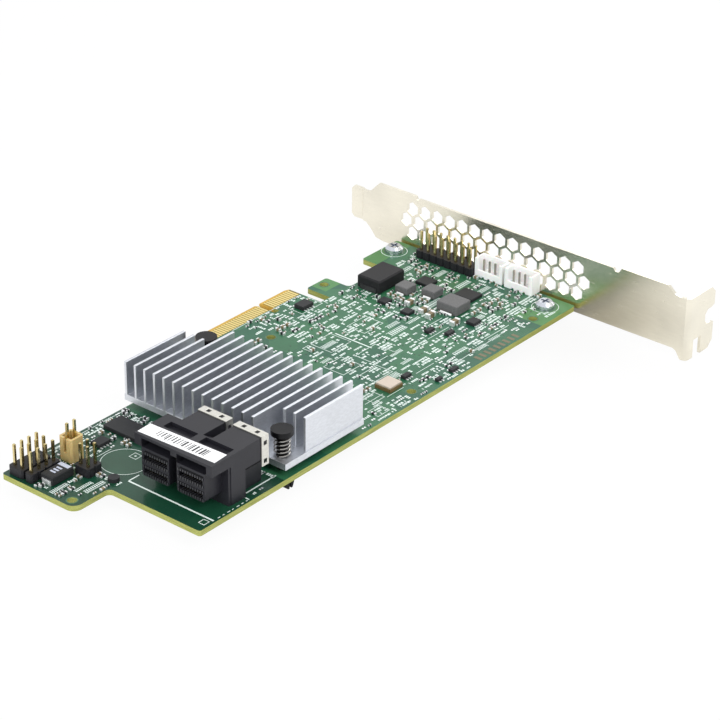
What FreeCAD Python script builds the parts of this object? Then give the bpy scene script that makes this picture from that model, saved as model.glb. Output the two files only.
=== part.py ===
import FreeCAD, Part
import math
import os
import Sketcher

# Raid controller card, low board on a full-height bracket.
# +X runs along the card away from the bracket, +Y away from the edge fingers,
# +Z out of the component side. The origin is the centre of the key notch at the
# contact edge, on the component-side face of the board. Millimetres.

doc = FreeCAD.newDocument("raid_controller_card")
sheet = doc.addObject("Spreadsheet::Sheet", "Sizes")

SIZES = {
    # board outline
    "board_thickness": 1.57,
    "bracket_gap": 0.80,
    "board_far_end": 110.25,
    "board_top_edge": 68.90,
    "board_body_edge": 13.00,
    "board_edge_radius": 0.80,
    "corner_land_edge": 4.40,
    "corner_land_length": 16.20,
    "hole_tab_near": 16.40,
    "hole_tab_far": 25.00,
    "far_tab_top": 38.40,
    "far_step": 98.10,
    "inner_radius": 1.50,
    "far_tab_radius": 2.60,
    # edge fingers
    "key_width": 1.90,
    "key_depth": 7.60,
    "short_tongue_end": 12.60,
    "long_tongue_end": 39.60,
    "tongue_chamfer": 0.90,
    "edge_bevel_length": 1.30,
    "edge_bevel_depth": 0.42,
    "contact_pitch": 1.00,
    "contact_width": 0.70,
    "contact_first": 1.50,
    "contact_start": 1.40,
    "contact_length": 3.90,
    "contact_thickness": 0.05,
    # holes of the board
    "tool_hole": 2.60,
    "screw_hole": 3.20,
    "pin_hole": 1.02,
    "screw_inset": 6.00,
    "screw_low_y": 8.20,
    "screw_spacing": 54.60,
    # bracket
    "sheet_thickness": 0.86,
    "bracket_inner": 58.20,
    "bracket_low_z": 2.43,
    "bracket_width": 18.42,
    "bracket_length": 120.02,
    "tongue_tip": 14.20,
    "tongue_width": 10.19,
    "tongue_low_z": 2.00,
    "tongue_corner": 1.00,
    "tongue_root": 8.20,
    "joggle": 0.60,
    "body_low_end": 3.30,
    "body_high_end": 98.60,
    "neck_end": 102.30,
    "tab_low_z": 5.20,
    "tab_high_z": 13.80,
    "tab_depth": 12.90,
    "bend_radius": 0.35,
    "screw_slot_width": 4.42,
    "screw_slot_depth": 4.40,
    "screw_slot_z": 5.10,
    "guide_notch_width": 3.70,
    "guide_notch_height": 5.50,
    "guide_notch_offset": 3.20,
    "vent_edge_drop": 0.60,
    "vent_edge_start": 11.00,
    "vent_edge_end": 80.20,
    "vent_pitch": 4.55,
    "vent_flats": 3.76,
    "vent_first_y": 9.42,
    "vent_top_z": 11.54,
    "board_tab_width": 8.00,
    "board_tab_reach": 12.20,
    # bracket screws
    "screw_shank": 2.90,
    "screw_head": 5.30,
    "screw_head_height": 1.95,
    "screw_crown": 0.80,
    "screw_length": 3.60,
    "cross_width": 0.70,
    "cross_length": 2.90,
    "cross_depth": 1.00,
    # cooling
    "processor_side": 27.00,
    "processor_thickness": 1.00,
    "die_side": 15.00,
    "die_height": 0.75,
    "pad_thickness": 0.25,
    "sink_base": 1.80,
    "sink_low_x": 35.40,
    "sink_high_x": 66.00,
    "sink_low_y": 12.60,
    "sink_high_y": 68.30,
    "sink_height": 11.50,
    "fin_thickness": 0.80,
    "fin_pitch": 3.39,
    "fin_first_y": 13.30,
    "pin_clear_x": 8.10,
    "pin_clear_y": 9.20,
    "push_pin_x": 11.80,
    "push_pin_y": 23.70,
    "push_pin_shaft": 2.90,
    "push_pin_hole": 3.20,
    "push_pin_head": 5.90,
    "push_pin_head_height": 1.50,
    "barb_length": 3.60,
    "barb_reach": 3.90,
    "barb_width": 1.80,
    "barb_gap": 0.70,
    "spring_length": 5.90,
    "spring_wire": 0.50,
    "spring_mean": 3.90,
    "spring_coils": 5.00,
    # twin drive receptacle
    "port_front_x": 91.20,
    "port_rear_x": 70.60,
    "port_deck_x": 84.40,
    "port_leg_x": 79.20,
    "port_far_y": 41.00,
    "port_near_y": 66.80,
    "port_height": 14.10,
    "port_pitch": 11.80,
    "port_first_y": 43.30,
    "port_width": 9.20,
    "port_bottom": 2.80,
    "slot_height": 2.10,
    "slot_width": 7.90,
    "slot_depth": 6.00,
    "slot_low_z": 3.50,
    "slot_rise": 3.80,
    "latch_height": 2.40,
    "latch_depth": 5.20,
    "tower_width": 9.00,
    "tower_first_y": 45.80,
    "tower_seam_z": 7.90,
    "tower_setback": 2.30,
    "clip_thickness": 0.30,
    "clip_width": 2.60,
    "clip_leg": 8.20,
    "clip_hole": 1.20,
    "drive_contact_pitch": 0.75,
    "drive_contact_width": 0.36,
    "drive_contact_height": 0.30,
    "drive_contact_length": 5.00,
    # headers
    "header_pitch": 2.54,
    "header_body": 2.54,
    "header_pin": 0.64,
    "header_pin_top": 8.50,
    "header_pin_tail": 2.90,
    "module_header_inset": 0.12,
    "module_header_y": 15.40,
    "cable_header_x": 99.04,
    "cable_header_y": 14.30,
    "jumper_row_y": 20.10,
    "service_header_x": 93.20,
    "service_header_y": 26.40,
    "wire_pitch": 2.00,
    "wire_pin": 0.50,
    "wire_socket_length": 9.70,
    "wire_socket_depth": 4.10,
    "wire_socket_height": 6.00,
    "wire_socket_wall": 0.70,
    "wire_socket_overhang": 0.55,
    "wire_socket_y": 35.90,
    "wire_socket_step": 10.60,
    "fan_socket_x": 91.30,
    "fan_socket_y": 18.70,
    "fan_socket_side": 4.60,
    "fan_socket_height": 6.70,
    "fan_socket_wall": 0.70,
    "fan_pin_top": 10.80,
    # power parts and chips
    "inductor_x": 38.00,
    "inductor_y": 14.60,
    "inductor_length": 11.40,
    "inductor_depth": 8.20,
    "inductor_height": 4.00,
    "terminal_thickness": 0.20,
    "tantalum_length": 7.30,
    "tantalum_width": 4.30,
    "tantalum_height": 2.60,
    "tantalum_x": 99.30,
    "tantalum_y": 23.10,
    "chip_height": 1.10,
    "lead_width": 0.36,
    "lead_reach": 0.75,
    "lead_thickness": 0.15,
    "lead_lap": 0.10,
    "oscillator_side_x": 5.40,
    "oscillator_side_y": 5.30,
}


class Size:
    # A named length together with the formula that the document keeps for it.
    def __init__(self, value, text):
        self.value = value
        self.text = text

    def _join(self, other, sign, result):
        text = other.text if isinstance(other, Size) else "%.4f" % other
        return Size(result, "(%s %s %s)" % (self.text, sign, text))

    def __add__(self, other):
        return self._join(other, "+", self.value + number(other))

    def __sub__(self, other):
        return self._join(other, "-", self.value - number(other))

    def __mul__(self, other):
        return self._join(other, "*", self.value * number(other))

    def __truediv__(self, other):
        return self._join(other, "/", self.value / number(other))

    def __neg__(self):
        return Size(-self.value, "(-1 * %s)" % self.text)


def number(thing):
    return thing.value if isinstance(thing, Size) else float(thing)


def fixed(value):
    return Size(float(value), "%.4f" % value)


class Names:
    pass


s = Names()
for row, (alias, value) in enumerate(SIZES.items(), start=1):
    sheet.set("A%d" % row, alias)
    sheet.set("B%d" % row, "%.4f" % value)
    sheet.setAlias("B%d" % row, alias)
    setattr(s, alias, Size(value, "Sizes.%s" % alias))
doc.recompute()


def bind(thing, prop, size):
    size = size if isinstance(size, Size) else fixed(size)
    thing.setExpression(prop, size.text)


def fail(text):
    raise RuntimeError(text)


# Bodies made of sketches

def body(label, loose=False):
    thing = doc.addObject("PartDesign::Body", label)
    thing.Label = label
    if loose:
        thing.AllowCompound = True
    return thing


def plane_of(owner, name):
    for feature in owner.Origin.OriginFeatures:
        if feature.Name.startswith(name) or feature.Role == name:
            return feature
    fail("no plane " + name)


def sketch(owner, plane, offset=None):
    thing = owner.newObject("Sketcher::SketchObject", "Outline")
    thing.AttachmentSupport = [(plane_of(owner, plane), "")]
    thing.MapMode = "FlatFace"
    if offset is not None:
        bind(thing, "AttachmentOffset.Base.z", offset)
    return thing


def hold(thing, kind, first, point, size):
    size = size if isinstance(size, Size) else fixed(size)
    if abs(size.value) < 1e-9 and "Sizes" not in size.text:
        on = 2 if kind == "DistanceX" else 1
        index = thing.addConstraint(Sketcher.Constraint("PointOnObject", first, point, -on))
        return index
    index = thing.addConstraint(Sketcher.Constraint(kind, -1, 1, first, point, size.value))
    thing.setExpression("Constraints[%d]" % index, size.text)
    return index


def polygon(thing, points):
    vectors = [FreeCAD.Vector(number(x), number(y), 0) for x, y in points]
    first = thing.GeometryCount
    count = len(vectors)
    for i in range(count):
        thing.addGeometry(Part.LineSegment(vectors[i], vectors[(i + 1) % count]), False)
    for i in range(count):
        thing.addConstraint(
            Sketcher.Constraint("Coincident", first + i, 2, first + (i + 1) % count, 1))
    for i, (x, y) in enumerate(points):
        hold(thing, "DistanceX", first + i, 1, x)
        hold(thing, "DistanceY", first + i, 1, y)


def rectangle(thing, x0, y0, x1, y1):
    polygon(thing, [(x0, y0), (x1, y0), (x1, y1), (x0, y1)])


def circle(thing, x, y, diameter):
    place = FreeCAD.Vector(number(x), number(y), 0)
    index = thing.addGeometry(
        Part.Circle(place, FreeCAD.Vector(0, 0, 1), number(diameter) / 2), False)
    hold(thing, "DistanceX", index, 3, x)
    hold(thing, "DistanceY", index, 3, y)
    size = diameter if isinstance(diameter, Size) else fixed(diameter)
    mark = thing.addConstraint(Sketcher.Constraint("Diameter", index, size.value))
    thing.setExpression("Constraints[%d]" % mark, size.text)


def hexagon(thing, x, y, flats):
    reach = flats / math.sqrt(3)
    half = flats / 2
    polygon(thing, [
        (x, y + reach), (x - half, y + reach / 2), (x - half, y - reach / 2),
        (x, y - reach), (x + half, y - reach / 2), (x + half, y + reach / 2)])


def volume(owner):
    owner.Document.recompute()
    shape = owner.Shape
    return 0.0 if shape.isNull() else shape.Volume


def pad(owner, outline, length, reverse=False):
    before = volume(owner)
    thing = owner.newObject("PartDesign::Pad", "Pad")
    thing.Profile = outline
    bind(thing, "Length", length)
    thing.Reversed = reverse
    outline.Visibility = False
    if volume(owner) <= before:
        fail("pad adds nothing in " + owner.Label)
    return thing


def pocket(owner, outline, length=None, reverse=False):
    before = volume(owner)
    thing = owner.newObject("PartDesign::Pocket", "Pocket")
    thing.Profile = outline
    if length is None:
        thing.Type = "ThroughAll"
    else:
        bind(thing, "Length", length)
    thing.Reversed = reverse
    outline.Visibility = False
    if volume(owner) >= before:
        fail("pocket cuts nothing in " + owner.Label)
    return thing


def repeat(owner, feature, axis, pitch, count, across=None):
    # A row of copies, or a grid where across gives the second axis, pitch and count.
    thing = owner.newObject("PartDesign::LinearPattern", "Pattern")
    thing.Originals = [feature]
    thing.Direction = (plane_of(owner, axis), [""])
    thing.Occurrences = count
    bind(thing, "Length", pitch * (count - 1))
    if across:
        thing.Direction2 = (plane_of(owner, across[0]), [""])
        thing.Occurrences2 = across[2]
        bind(thing, "Length2", across[1] * (across[2] - 1))
    owner.Tip = thing
    doc.recompute()
    return thing


def soften(owner, edges, size, kind="PartDesign::Fillet"):
    feature = owner.Tip
    names = ["Edge%d" % (i + 1) for i, e in enumerate(feature.Shape.Edges) if edges(e)]
    if not names:
        fail("no edge to round in " + owner.Label)
    thing = owner.newObject(kind, "Round")
    thing.Base = (feature, names)
    bind(thing, "Radius" if kind.endswith("Fillet") else "Size", size)
    owner.Tip = thing
    doc.recompute()
    return thing


def runs(axis):
    # An edge that lies along one axis.
    def test(edge):
        if not isinstance(edge.Curve, Part.Line):
            return False
        way = edge.Vertexes[-1].Point - edge.Vertexes[0].Point
        return abs(way.normalize()[axis]) > 0.9999
    return test


def near(axis, *pairs):
    # Edges along one axis whose middle stands near one of the pairs of the other two.
    straight = runs(axis)
    others = [i for i in range(3) if i != axis]

    def test(edge):
        if not straight(edge):
            return False
        middle = edge.valueAt((edge.FirstParameter + edge.LastParameter) / 2)
        return any(
            abs(middle[others[0]] - number(a)) < 0.02 and abs(middle[others[1]] - number(b)) < 0.02
            for a, b in pairs)
    return test


# Plain blocks, and groups of like pieces

def block(name, x, y, z, dx, dy, dz):
    thing = doc.addObject("Part::Box", name)
    for prop, size in (("Length", dx), ("Width", dy), ("Height", dz),
                       ("Placement.Base.x", x), ("Placement.Base.y", y), ("Placement.Base.z", z)):
        bind(thing, prop, size)
    return thing


def chamfered(name, thing, size, edges):
    thing_out = doc.addObject("Part::Chamfer", name)
    thing_out.Base = thing
    doc.recompute()
    width = number(size)
    thing_out.Edges = [(i + 1, width, width)
                       for i, e in enumerate(thing.Shape.Edges) if edges(e)]
    return thing_out


def group(label, pieces):
    thing = doc.addObject("Part::Compound", label)
    thing.Label = label
    thing.Links = pieces
    return thing


def joined(label, pieces):
    thing = doc.addObject("Part::MultiFuse", label)
    thing.Label = label
    thing.Shapes = pieces
    thing.Refine = True
    return thing


ZERO = fixed(0)
SPRING_STEPS = 8
nodes = []

# Board frame

solder_face = -s.board_thickness
bracket_edge = s.bracket_gap - s.bracket_inner
land_edge = bracket_edge + s.corner_land_length
screw_x = bracket_edge + s.screw_inset
screw_high_y = s.screw_low_y + s.screw_spacing

# Middle of the heatsink, and the two push pins set point-symmetric about it
sink_x = (s.sink_low_x + s.sink_high_x) / 2
sink_y = (s.sink_low_y + s.sink_high_y) / 2
push_pins_at = [(sink_x + s.push_pin_x, sink_y + s.push_pin_y),
                (sink_x - s.push_pin_x, sink_y - s.push_pin_y)]

# Pin grids of the headers, as first pin, pitch and counts along X and Y
half_pitch = s.header_pitch / 2
GRIDS = {
    "module": (bracket_edge + s.module_header_inset + half_pitch,
               s.module_header_y + half_pitch, 2, 8),
    "cable": (s.cable_header_x + half_pitch, s.cable_header_y + half_pitch, 4, 2),
    "jumper": (s.cable_header_x + half_pitch, s.jumper_row_y + half_pitch, 4, 1),
    "service": (s.service_header_x + half_pitch, s.service_header_y + half_pitch, 2, 2),
}
wire_socket_x = bracket_edge - s.wire_socket_overhang
wire_pin_x = wire_socket_x + s.wire_socket_depth / 2
wire_pin_y = s.wire_socket_y + (s.wire_socket_length - s.wire_pitch * 3) / 2
fan_pin_y = s.fan_socket_y + s.fan_socket_side / 2
fan_pin_x = s.fan_socket_x + (s.fan_socket_side - s.header_pitch) / 2


def pcb():
    owner = body("pcb")
    outline = sketch(owner, "XY_Plane", solder_face)
    key = s.key_width / 2
    polygon(outline, [
        (-s.short_tongue_end, ZERO), (-key, ZERO), (-key, s.key_depth), (key, s.key_depth),
        (key, ZERO), (s.long_tongue_end, ZERO), (s.long_tongue_end, s.board_body_edge),
        (s.board_far_end, s.board_body_edge), (s.board_far_end, s.far_tab_top),
        (s.far_step, s.far_tab_top), (s.far_step, s.board_top_edge),
        (bracket_edge, s.board_top_edge), (bracket_edge, s.corner_land_edge),
        (land_edge, s.corner_land_edge), (land_edge, s.board_body_edge),
        (-s.hole_tab_far, s.board_body_edge), (-s.hole_tab_far, s.corner_land_edge),
        (-s.hole_tab_near, s.corner_land_edge), (-s.hole_tab_near, s.board_body_edge),
        (-s.short_tongue_end, s.board_body_edge)])
    pad(owner, outline, s.board_thickness)
    up = 2
    soften(owner, near(up, (s.long_tongue_end, ZERO), (-s.short_tongue_end, ZERO)),
           s.tongue_chamfer, "PartDesign::Chamfer")
    soften(owner, near(up, (s.board_far_end, s.far_tab_top)), s.far_tab_radius)
    soften(owner, near(up, (s.far_step, s.far_tab_top), (land_edge, s.board_body_edge),
                       (-s.hole_tab_far, s.board_body_edge)), s.inner_radius)
    soften(owner, near(up, (s.board_far_end, s.board_body_edge), (s.far_step, s.board_top_edge),
                       (bracket_edge, s.board_top_edge), (bracket_edge, s.corner_land_edge),
                       (land_edge, s.corner_land_edge), (-s.hole_tab_far, s.corner_land_edge),
                       (-s.hole_tab_near, s.corner_land_edge)), s.board_edge_radius)

    # Bevel along both edges of the finger tongue
    lead = sketch(owner, "YZ_Plane", -s.short_tongue_end - 1)
    for face, inward in ((ZERO, -s.edge_bevel_depth), (solder_face, s.edge_bevel_depth)):
        outer = -inward
        polygon(lead, [(s.edge_bevel_length, face), (-s.edge_bevel_length, face + inward * 2),
                       (-s.edge_bevel_length, face + outer), (s.edge_bevel_length, face + outer)])
    pocket(owner, lead, s.short_tongue_end + s.long_tongue_end + 2, reverse=True)

    # Tooling holes, screw holes and push-pin holes
    holes = sketch(owner, "XY_Plane")
    for x, y in ((107.9, 35.4), (-21.4, 6.65), (12.5, 16.3), (11.2, 64.6),
                 (bracket_edge + 14.1, 64.5)):
        circle(holes, x, y, s.tool_hole)
    for y in (s.screw_low_y, screw_high_y):
        circle(holes, screw_x, y, s.screw_hole)
    for x, y in push_pins_at:
        circle(holes, x, y, s.push_pin_hole)
    pocket(owner, holes)

    # Plated holes of the headers and sockets, a grid for each
    for x, y, along_x, along_y in GRIDS.values():
        hole = plated_hole(owner, x, y)
        across = ("Y_Axis", s.header_pitch, along_y) if along_y > 1 else None
        repeat(owner, hole, "X_Axis", s.header_pitch, along_x, across)
    hole = plated_hole(owner, wire_pin_x, wire_pin_y)
    repeat(owner, hole, "Y_Axis", s.wire_socket_step, 2, ("Y_Axis", s.wire_pitch, 4))
    hole = plated_hole(owner, fan_pin_x, fan_pin_y)
    repeat(owner, hole, "X_Axis", s.header_pitch, 2)
    return owner


def plated_hole(owner, x, y):
    outline = sketch(owner, "XY_Plane")
    half = s.pin_hole / 2
    rectangle(outline, x - half, y - half, x + half, y + half)
    return pocket(owner, outline)


def edge_contacts(label, base_z):
    owner = body(label, loose=True)
    for first, count in ((s.contact_first, 38), (-s.contact_first - s.contact_pitch * 10, 11)):
        outline = sketch(owner, "XY_Plane", base_z)
        rectangle(outline, first - s.contact_width / 2, s.contact_start,
                  first + s.contact_width / 2, s.contact_start + s.contact_length)
        strip = pad(owner, outline, s.contact_thickness)
        repeat(owner, strip, "X_Axis", s.contact_pitch, count)
    return owner


def io_bracket():
    owner = body("io_bracket")
    inner = -s.bracket_inner
    outer = inner - s.sheet_thickness
    low = -s.bracket_low_z
    high = low + s.bracket_width
    vent_edge = high - s.vent_edge_drop
    tongue_high = s.tongue_low_z + s.tongue_width
    tab_low = -s.tab_low_z
    tab_outer_y = s.bracket_length - s.tongue_tip
    tab_inner_y = tab_outer_y - s.sheet_thickness
    bend_y = tab_inner_y - s.bend_radius
    end = s.vent_edge_end

    # Flat face with the vent edge, its relief notches and the necked ends
    face = sketch(owner, "YZ_Plane", outer)
    polygon(face, [
        (-s.tongue_root, s.tongue_low_z), (-s.body_low_end - 3.2, ZERO + 0.5),
        (-s.body_low_end - 1.1, low + 0.5), (-s.body_low_end + 1.6, low),
        (s.body_high_end + 2.6, low), (s.neck_end, tab_low + 2.2), (s.neck_end + 1.4, tab_low),
        (bend_y, tab_low), (bend_y, s.tab_high_z), (s.neck_end + 0.4, s.tab_high_z - 0.2),
        (s.body_high_end + 2.2, s.tab_high_z + 0.2), (s.body_high_end, high),
        (end + 3.0, high), (end + 1.9, vent_edge - 0.9), (end + 0.8, vent_edge - 0.9),
        (end, vent_edge), (s.vent_edge_start + 0.7, vent_edge),
        (s.vent_edge_start + 0.35, vent_edge - 0.5), (s.vent_edge_start, vent_edge - 0.5),
        (s.vent_edge_start - 0.5, high), (-s.body_low_end, high),
        (-s.body_low_end - 3.6, tongue_high + 0.1), (-s.tongue_root, tongue_high)])
    pad(owner, face, s.sheet_thickness)

    # Tongue, joggled outwards by less than one sheet
    side = sketch(owner, "XY_Plane", s.tongue_low_z)
    bend_out = s.joggle
    polygon(side, [
        (inner, -s.tongue_root), (inner, -s.tongue_root - 0.8), (inner - bend_out, -s.tongue_root - 2.0),
        (inner - bend_out, -s.tongue_tip), (outer - bend_out, -s.tongue_tip),
        (outer - bend_out, -s.tongue_root - 2.0), (outer, -s.tongue_root - 0.8),
        (outer, -s.tongue_root)])
    pad(owner, side, s.tongue_width)
    corners = sketch(owner, "YZ_Plane", outer - 2)
    for z, way in ((s.tongue_low_z, 1), (tongue_high, -1)):
        polygon(corners, [(-s.tongue_tip - 1, z - way), (s.tongue_corner - s.tongue_tip + 0.8, z - way),
                          (s.tongue_corner - s.tongue_tip, z), (-s.tongue_tip, z + s.tongue_corner * way),
                          (-s.tongue_tip - 1, z + s.tongue_corner * way)])
    pocket(owner, corners, fixed(6), reverse=True)

    # Screw tab, bent outwards with an inside radius
    bend = sketch(owner, "XY_Plane", tab_low)
    tab_edge = inner - s.tab_depth
    k = 1 - math.sqrt(0.5)
    r_in = s.bend_radius
    r_out = s.bend_radius + s.sheet_thickness
    polygon(bend, [
        (outer, bend_y), (inner, bend_y), (inner - r_out * k, tab_outer_y - r_out * k),
        (inner - r_out, tab_outer_y), (tab_edge, tab_outer_y), (tab_edge, tab_inner_y),
        (outer - r_in, tab_inner_y), (outer - r_in * k, tab_inner_y - r_in * k)])
    pad(owner, bend, s.tab_high_z + s.tab_low_z)
    slots = sketch(owner, "XZ_Plane", -tab_outer_y - 1)
    slot_z = s.screw_slot_z
    half = s.screw_slot_width / 2
    slot_end = tab_edge + s.screw_slot_depth
    polygon(slots, [(tab_edge - 1, slot_z - half - 0.8), (tab_edge + 1.6, slot_z - half),
                    (slot_end - 1.2, slot_z - half), (slot_end, slot_z - half + 1.2),
                    (slot_end, slot_z + half - 1.2), (slot_end - 1.2, slot_z + half),
                    (tab_edge + 1.6, slot_z + half), (tab_edge - 1, slot_z + half + 0.8)])
    notch = inner - s.guide_notch_offset
    rectangle(slots, notch - s.guide_notch_width, tab_low - 1, notch, tab_low + s.guide_notch_height)
    for z, way in ((tab_low, 1), (s.tab_high_z, -1)):
        polygon(slots, [(tab_edge - 1, z - way), (tab_edge + 2, z - way), (tab_edge + 2, z),
                        (tab_edge, z + 2 * way), (tab_edge - 1, z + 2 * way)])
    pocket(owner, slots, s.sheet_thickness + s.bend_radius + 1.6, reverse=True)

    # Two tabs folded under the board, each with a threaded hole
    reach = inner + s.board_tab_reach
    tab_face = solder_face
    fold = sketch(owner, "XZ_Plane", -(s.screw_low_y + s.board_tab_width / 2))
    under = tab_face - s.sheet_thickness
    polygon(fold, [(outer, under + 0.9), (outer + 0.27, under + 0.27), (outer + 0.9, under),
                   (reach, under), (reach, tab_face), (inner, tab_face),
                   (inner, tab_face + 0.3), (outer, tab_face + 0.3)])
    tab = pad(owner, fold, s.board_tab_width)
    repeat(owner, tab, "Y_Axis", s.screw_spacing, 2)
    bore = sketch(owner, "XY_Plane", under - 1)
    for y in (s.screw_low_y, screw_high_y):
        circle(bore, screw_x, y, s.screw_shank)
    pocket(owner, bore, s.sheet_thickness + 2, reverse=True)

    # Vents in three staggered rows
    row_drop = s.vent_pitch * (math.sqrt(3) / 2)
    for k, count in enumerate((14, 15, 14)):
        row = sketch(owner, "YZ_Plane", outer - 1)
        start = s.vent_first_y - s.vent_pitch / 2 if k == 1 else s.vent_first_y
        hexagon(row, start, s.vent_top_z - row_drop * k, s.vent_flats)
        hole = pocket(owner, row, s.sheet_thickness + 2, reverse=True)
        repeat(owner, hole, "Y_Axis", s.vent_pitch, count)
    return owner


def bracket_screw(number_of_screw, y):
    owner = body("bracket_screw_%d" % number_of_screw)
    shank = sketch(owner, "XY_Plane", -s.screw_length)
    circle(shank, screw_x, y, s.screw_shank)
    pad(owner, shank, s.screw_length)
    head = sketch(owner, "XY_Plane")
    circle(head, screw_x, y, s.screw_head)
    pad(owner, head, s.screw_head_height)

    def crown(edge):
        box = edge.BoundBox
        return box.ZMin > number(s.screw_head_height) - 0.01 and box.ZLength < 0.01
    soften(owner, crown, s.screw_crown, "PartDesign::Chamfer")
    cross = sketch(owner, "XY_Plane", s.screw_head_height)
    a = s.cross_width / 2
    b = s.cross_length / 2
    x = screw_x
    polygon(cross, [(x - b, y - a), (x - a, y - a), (x - a, y - b), (x + a, y - b), (x + a, y - a),
                    (x + b, y - a), (x + b, y + a), (x + a, y + a), (x + a, y + b), (x - a, y + b),
                    (x - a, y + a), (x - b, y + a)])
    pocket(owner, cross, s.cross_depth)
    return owner


def heatsink():
    owner = body("heatsink")
    low = sink_low()
    outline = sketch(owner, "XY_Plane", low)
    rectangle(outline, s.sink_low_x, s.sink_low_y, s.sink_high_x, s.sink_high_y)
    pad(owner, outline, s.sink_base)
    fin = sketch(owner, "XY_Plane", low + s.sink_base)
    half = s.fin_thickness / 2
    rectangle(fin, s.sink_low_x, s.fin_first_y - half, s.sink_high_x, s.fin_first_y + half)
    rib = pad(owner, fin, s.sink_height - s.sink_base)
    repeat(owner, rib, "Y_Axis", s.fin_pitch, 17)
    clear = sketch(owner, "XY_Plane", low + s.sink_base)
    rectangle(clear, s.sink_high_x - s.pin_clear_x, s.sink_high_y - s.pin_clear_y,
              s.sink_high_x + 1, s.sink_high_y + 1)
    rectangle(clear, s.sink_low_x - 1, s.sink_low_y - 1,
              s.sink_low_x + s.pin_clear_x, s.sink_low_y + s.pin_clear_y)
    pocket(owner, clear, s.sink_height, reverse=True)
    bores = sketch(owner, "XY_Plane", low)
    for x, y in push_pins_at:
        circle(bores, x, y, s.push_pin_hole)
    pocket(owner, bores, s.sink_base + 1, reverse=True)
    return owner


def sink_low():
    return s.processor_thickness + s.die_height + s.pad_thickness


def spring_foot():
    return sink_low() + s.sink_base


def raid_processor():
    owner = body("raid_processor")
    for side, base, height in ((s.processor_side, ZERO, s.processor_thickness),
                               (s.die_side, s.processor_thickness, s.die_height)):
        outline = sketch(owner, "XY_Plane", base)
        rectangle(outline, sink_x - side / 2, sink_y - side / 2, sink_x + side / 2, sink_y + side / 2)
        pad(owner, outline, height)
    return owner


def push_pins():
    pieces = []
    foot = solder_face
    top = spring_foot() + s.spring_length
    r = s.push_pin_shaft / 2
    wide = s.push_pin_head / 2
    gap = s.barb_gap / 2
    for n, (x, y) in enumerate(push_pins_at):
        owner = body("push_pin_%d" % (n + 1))
        outline = sketch(owner, "XZ_Plane")
        polygon(outline, [
            (ZERO, foot), (r, foot), (r, top), (wide, top), (wide, top + s.push_pin_head_height),
            (ZERO, top + s.push_pin_head_height)])
        turn = owner.newObject("PartDesign::Revolution", "Turned")
        turn.Profile = outline
        turn.ReferenceAxis = (outline, ["V_Axis"])
        turn.Angle = 360
        outline.Visibility = False
        doc.recompute()
        barbs = sketch(owner, "XZ_Plane", -s.barb_width / 2)
        for side in (1, -1):
            polygon(barbs, [(gap * side, foot), (gap * side, foot - s.barb_length),
                            (gap * side + 0.5 * side, foot - s.barb_length),
                            (s.barb_reach / 2 * side, foot - 0.7), (s.barb_reach / 2 * side, foot)])
        pad(owner, barbs, s.barb_width, reverse=True)
        for way, size in (("x", x), ("y", y)):
            bind(owner, "Placement.Base." + way, size)
        pieces.append(owner)
    return group("push_pins", pieces)


def push_pin_springs():
    pieces = []
    base = spring_foot() + s.spring_wire / 2
    rise = s.spring_length - s.spring_wire
    steps = round(number(s.spring_coils) * SPRING_STEPS)
    radius = number(s.spring_mean) / 2
    turn = 2 * math.pi / SPRING_STEPS
    points = [FreeCAD.Vector(radius * math.cos(turn * i), radius * math.sin(turn * i),
                             number(rise) * i / steps) for i in range(steps + 1)]
    for n, (x, y) in enumerate(push_pins_at):
        path = doc.addObject("Part::Feature", "spring_path_%d" % (n + 1))
        path.Shape = Part.makePolygon(points)
        wire = doc.addObject("Part::RegularPolygon", "spring_wire_%d" % (n + 1))
        wire.Polygon = 4
        bind(wire, "Circumradius", s.spring_wire / 2)
        bind(wire, "Placement.Base.x", s.spring_mean / 2)
        wire.Placement.Rotation = FreeCAD.Rotation(FreeCAD.Vector(1, 0, 0), 90)
        doc.recompute()
        coil = doc.addObject("Part::Sweep", "spring_%d" % (n + 1))
        coil.Sections = [wire]
        coil.Spine = (path, ["Edge%d" % (i + 1) for i in range(steps)])
        coil.Solid = True
        coil.Transition = "Right corner"
        for way, size in (("x", x), ("y", y), ("z", base)):
            bind(coil, "Placement.Base." + way, size)
        pieces.append(coil)
    return group("push_pin_springs", pieces)


def port_y(k):
    return s.port_first_y + s.port_pitch * k


def slot_y(k):
    return port_y(k) + (s.port_width - s.slot_width) / 2


def tower_y(k):
    return s.tower_first_y + s.port_pitch * k


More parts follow.
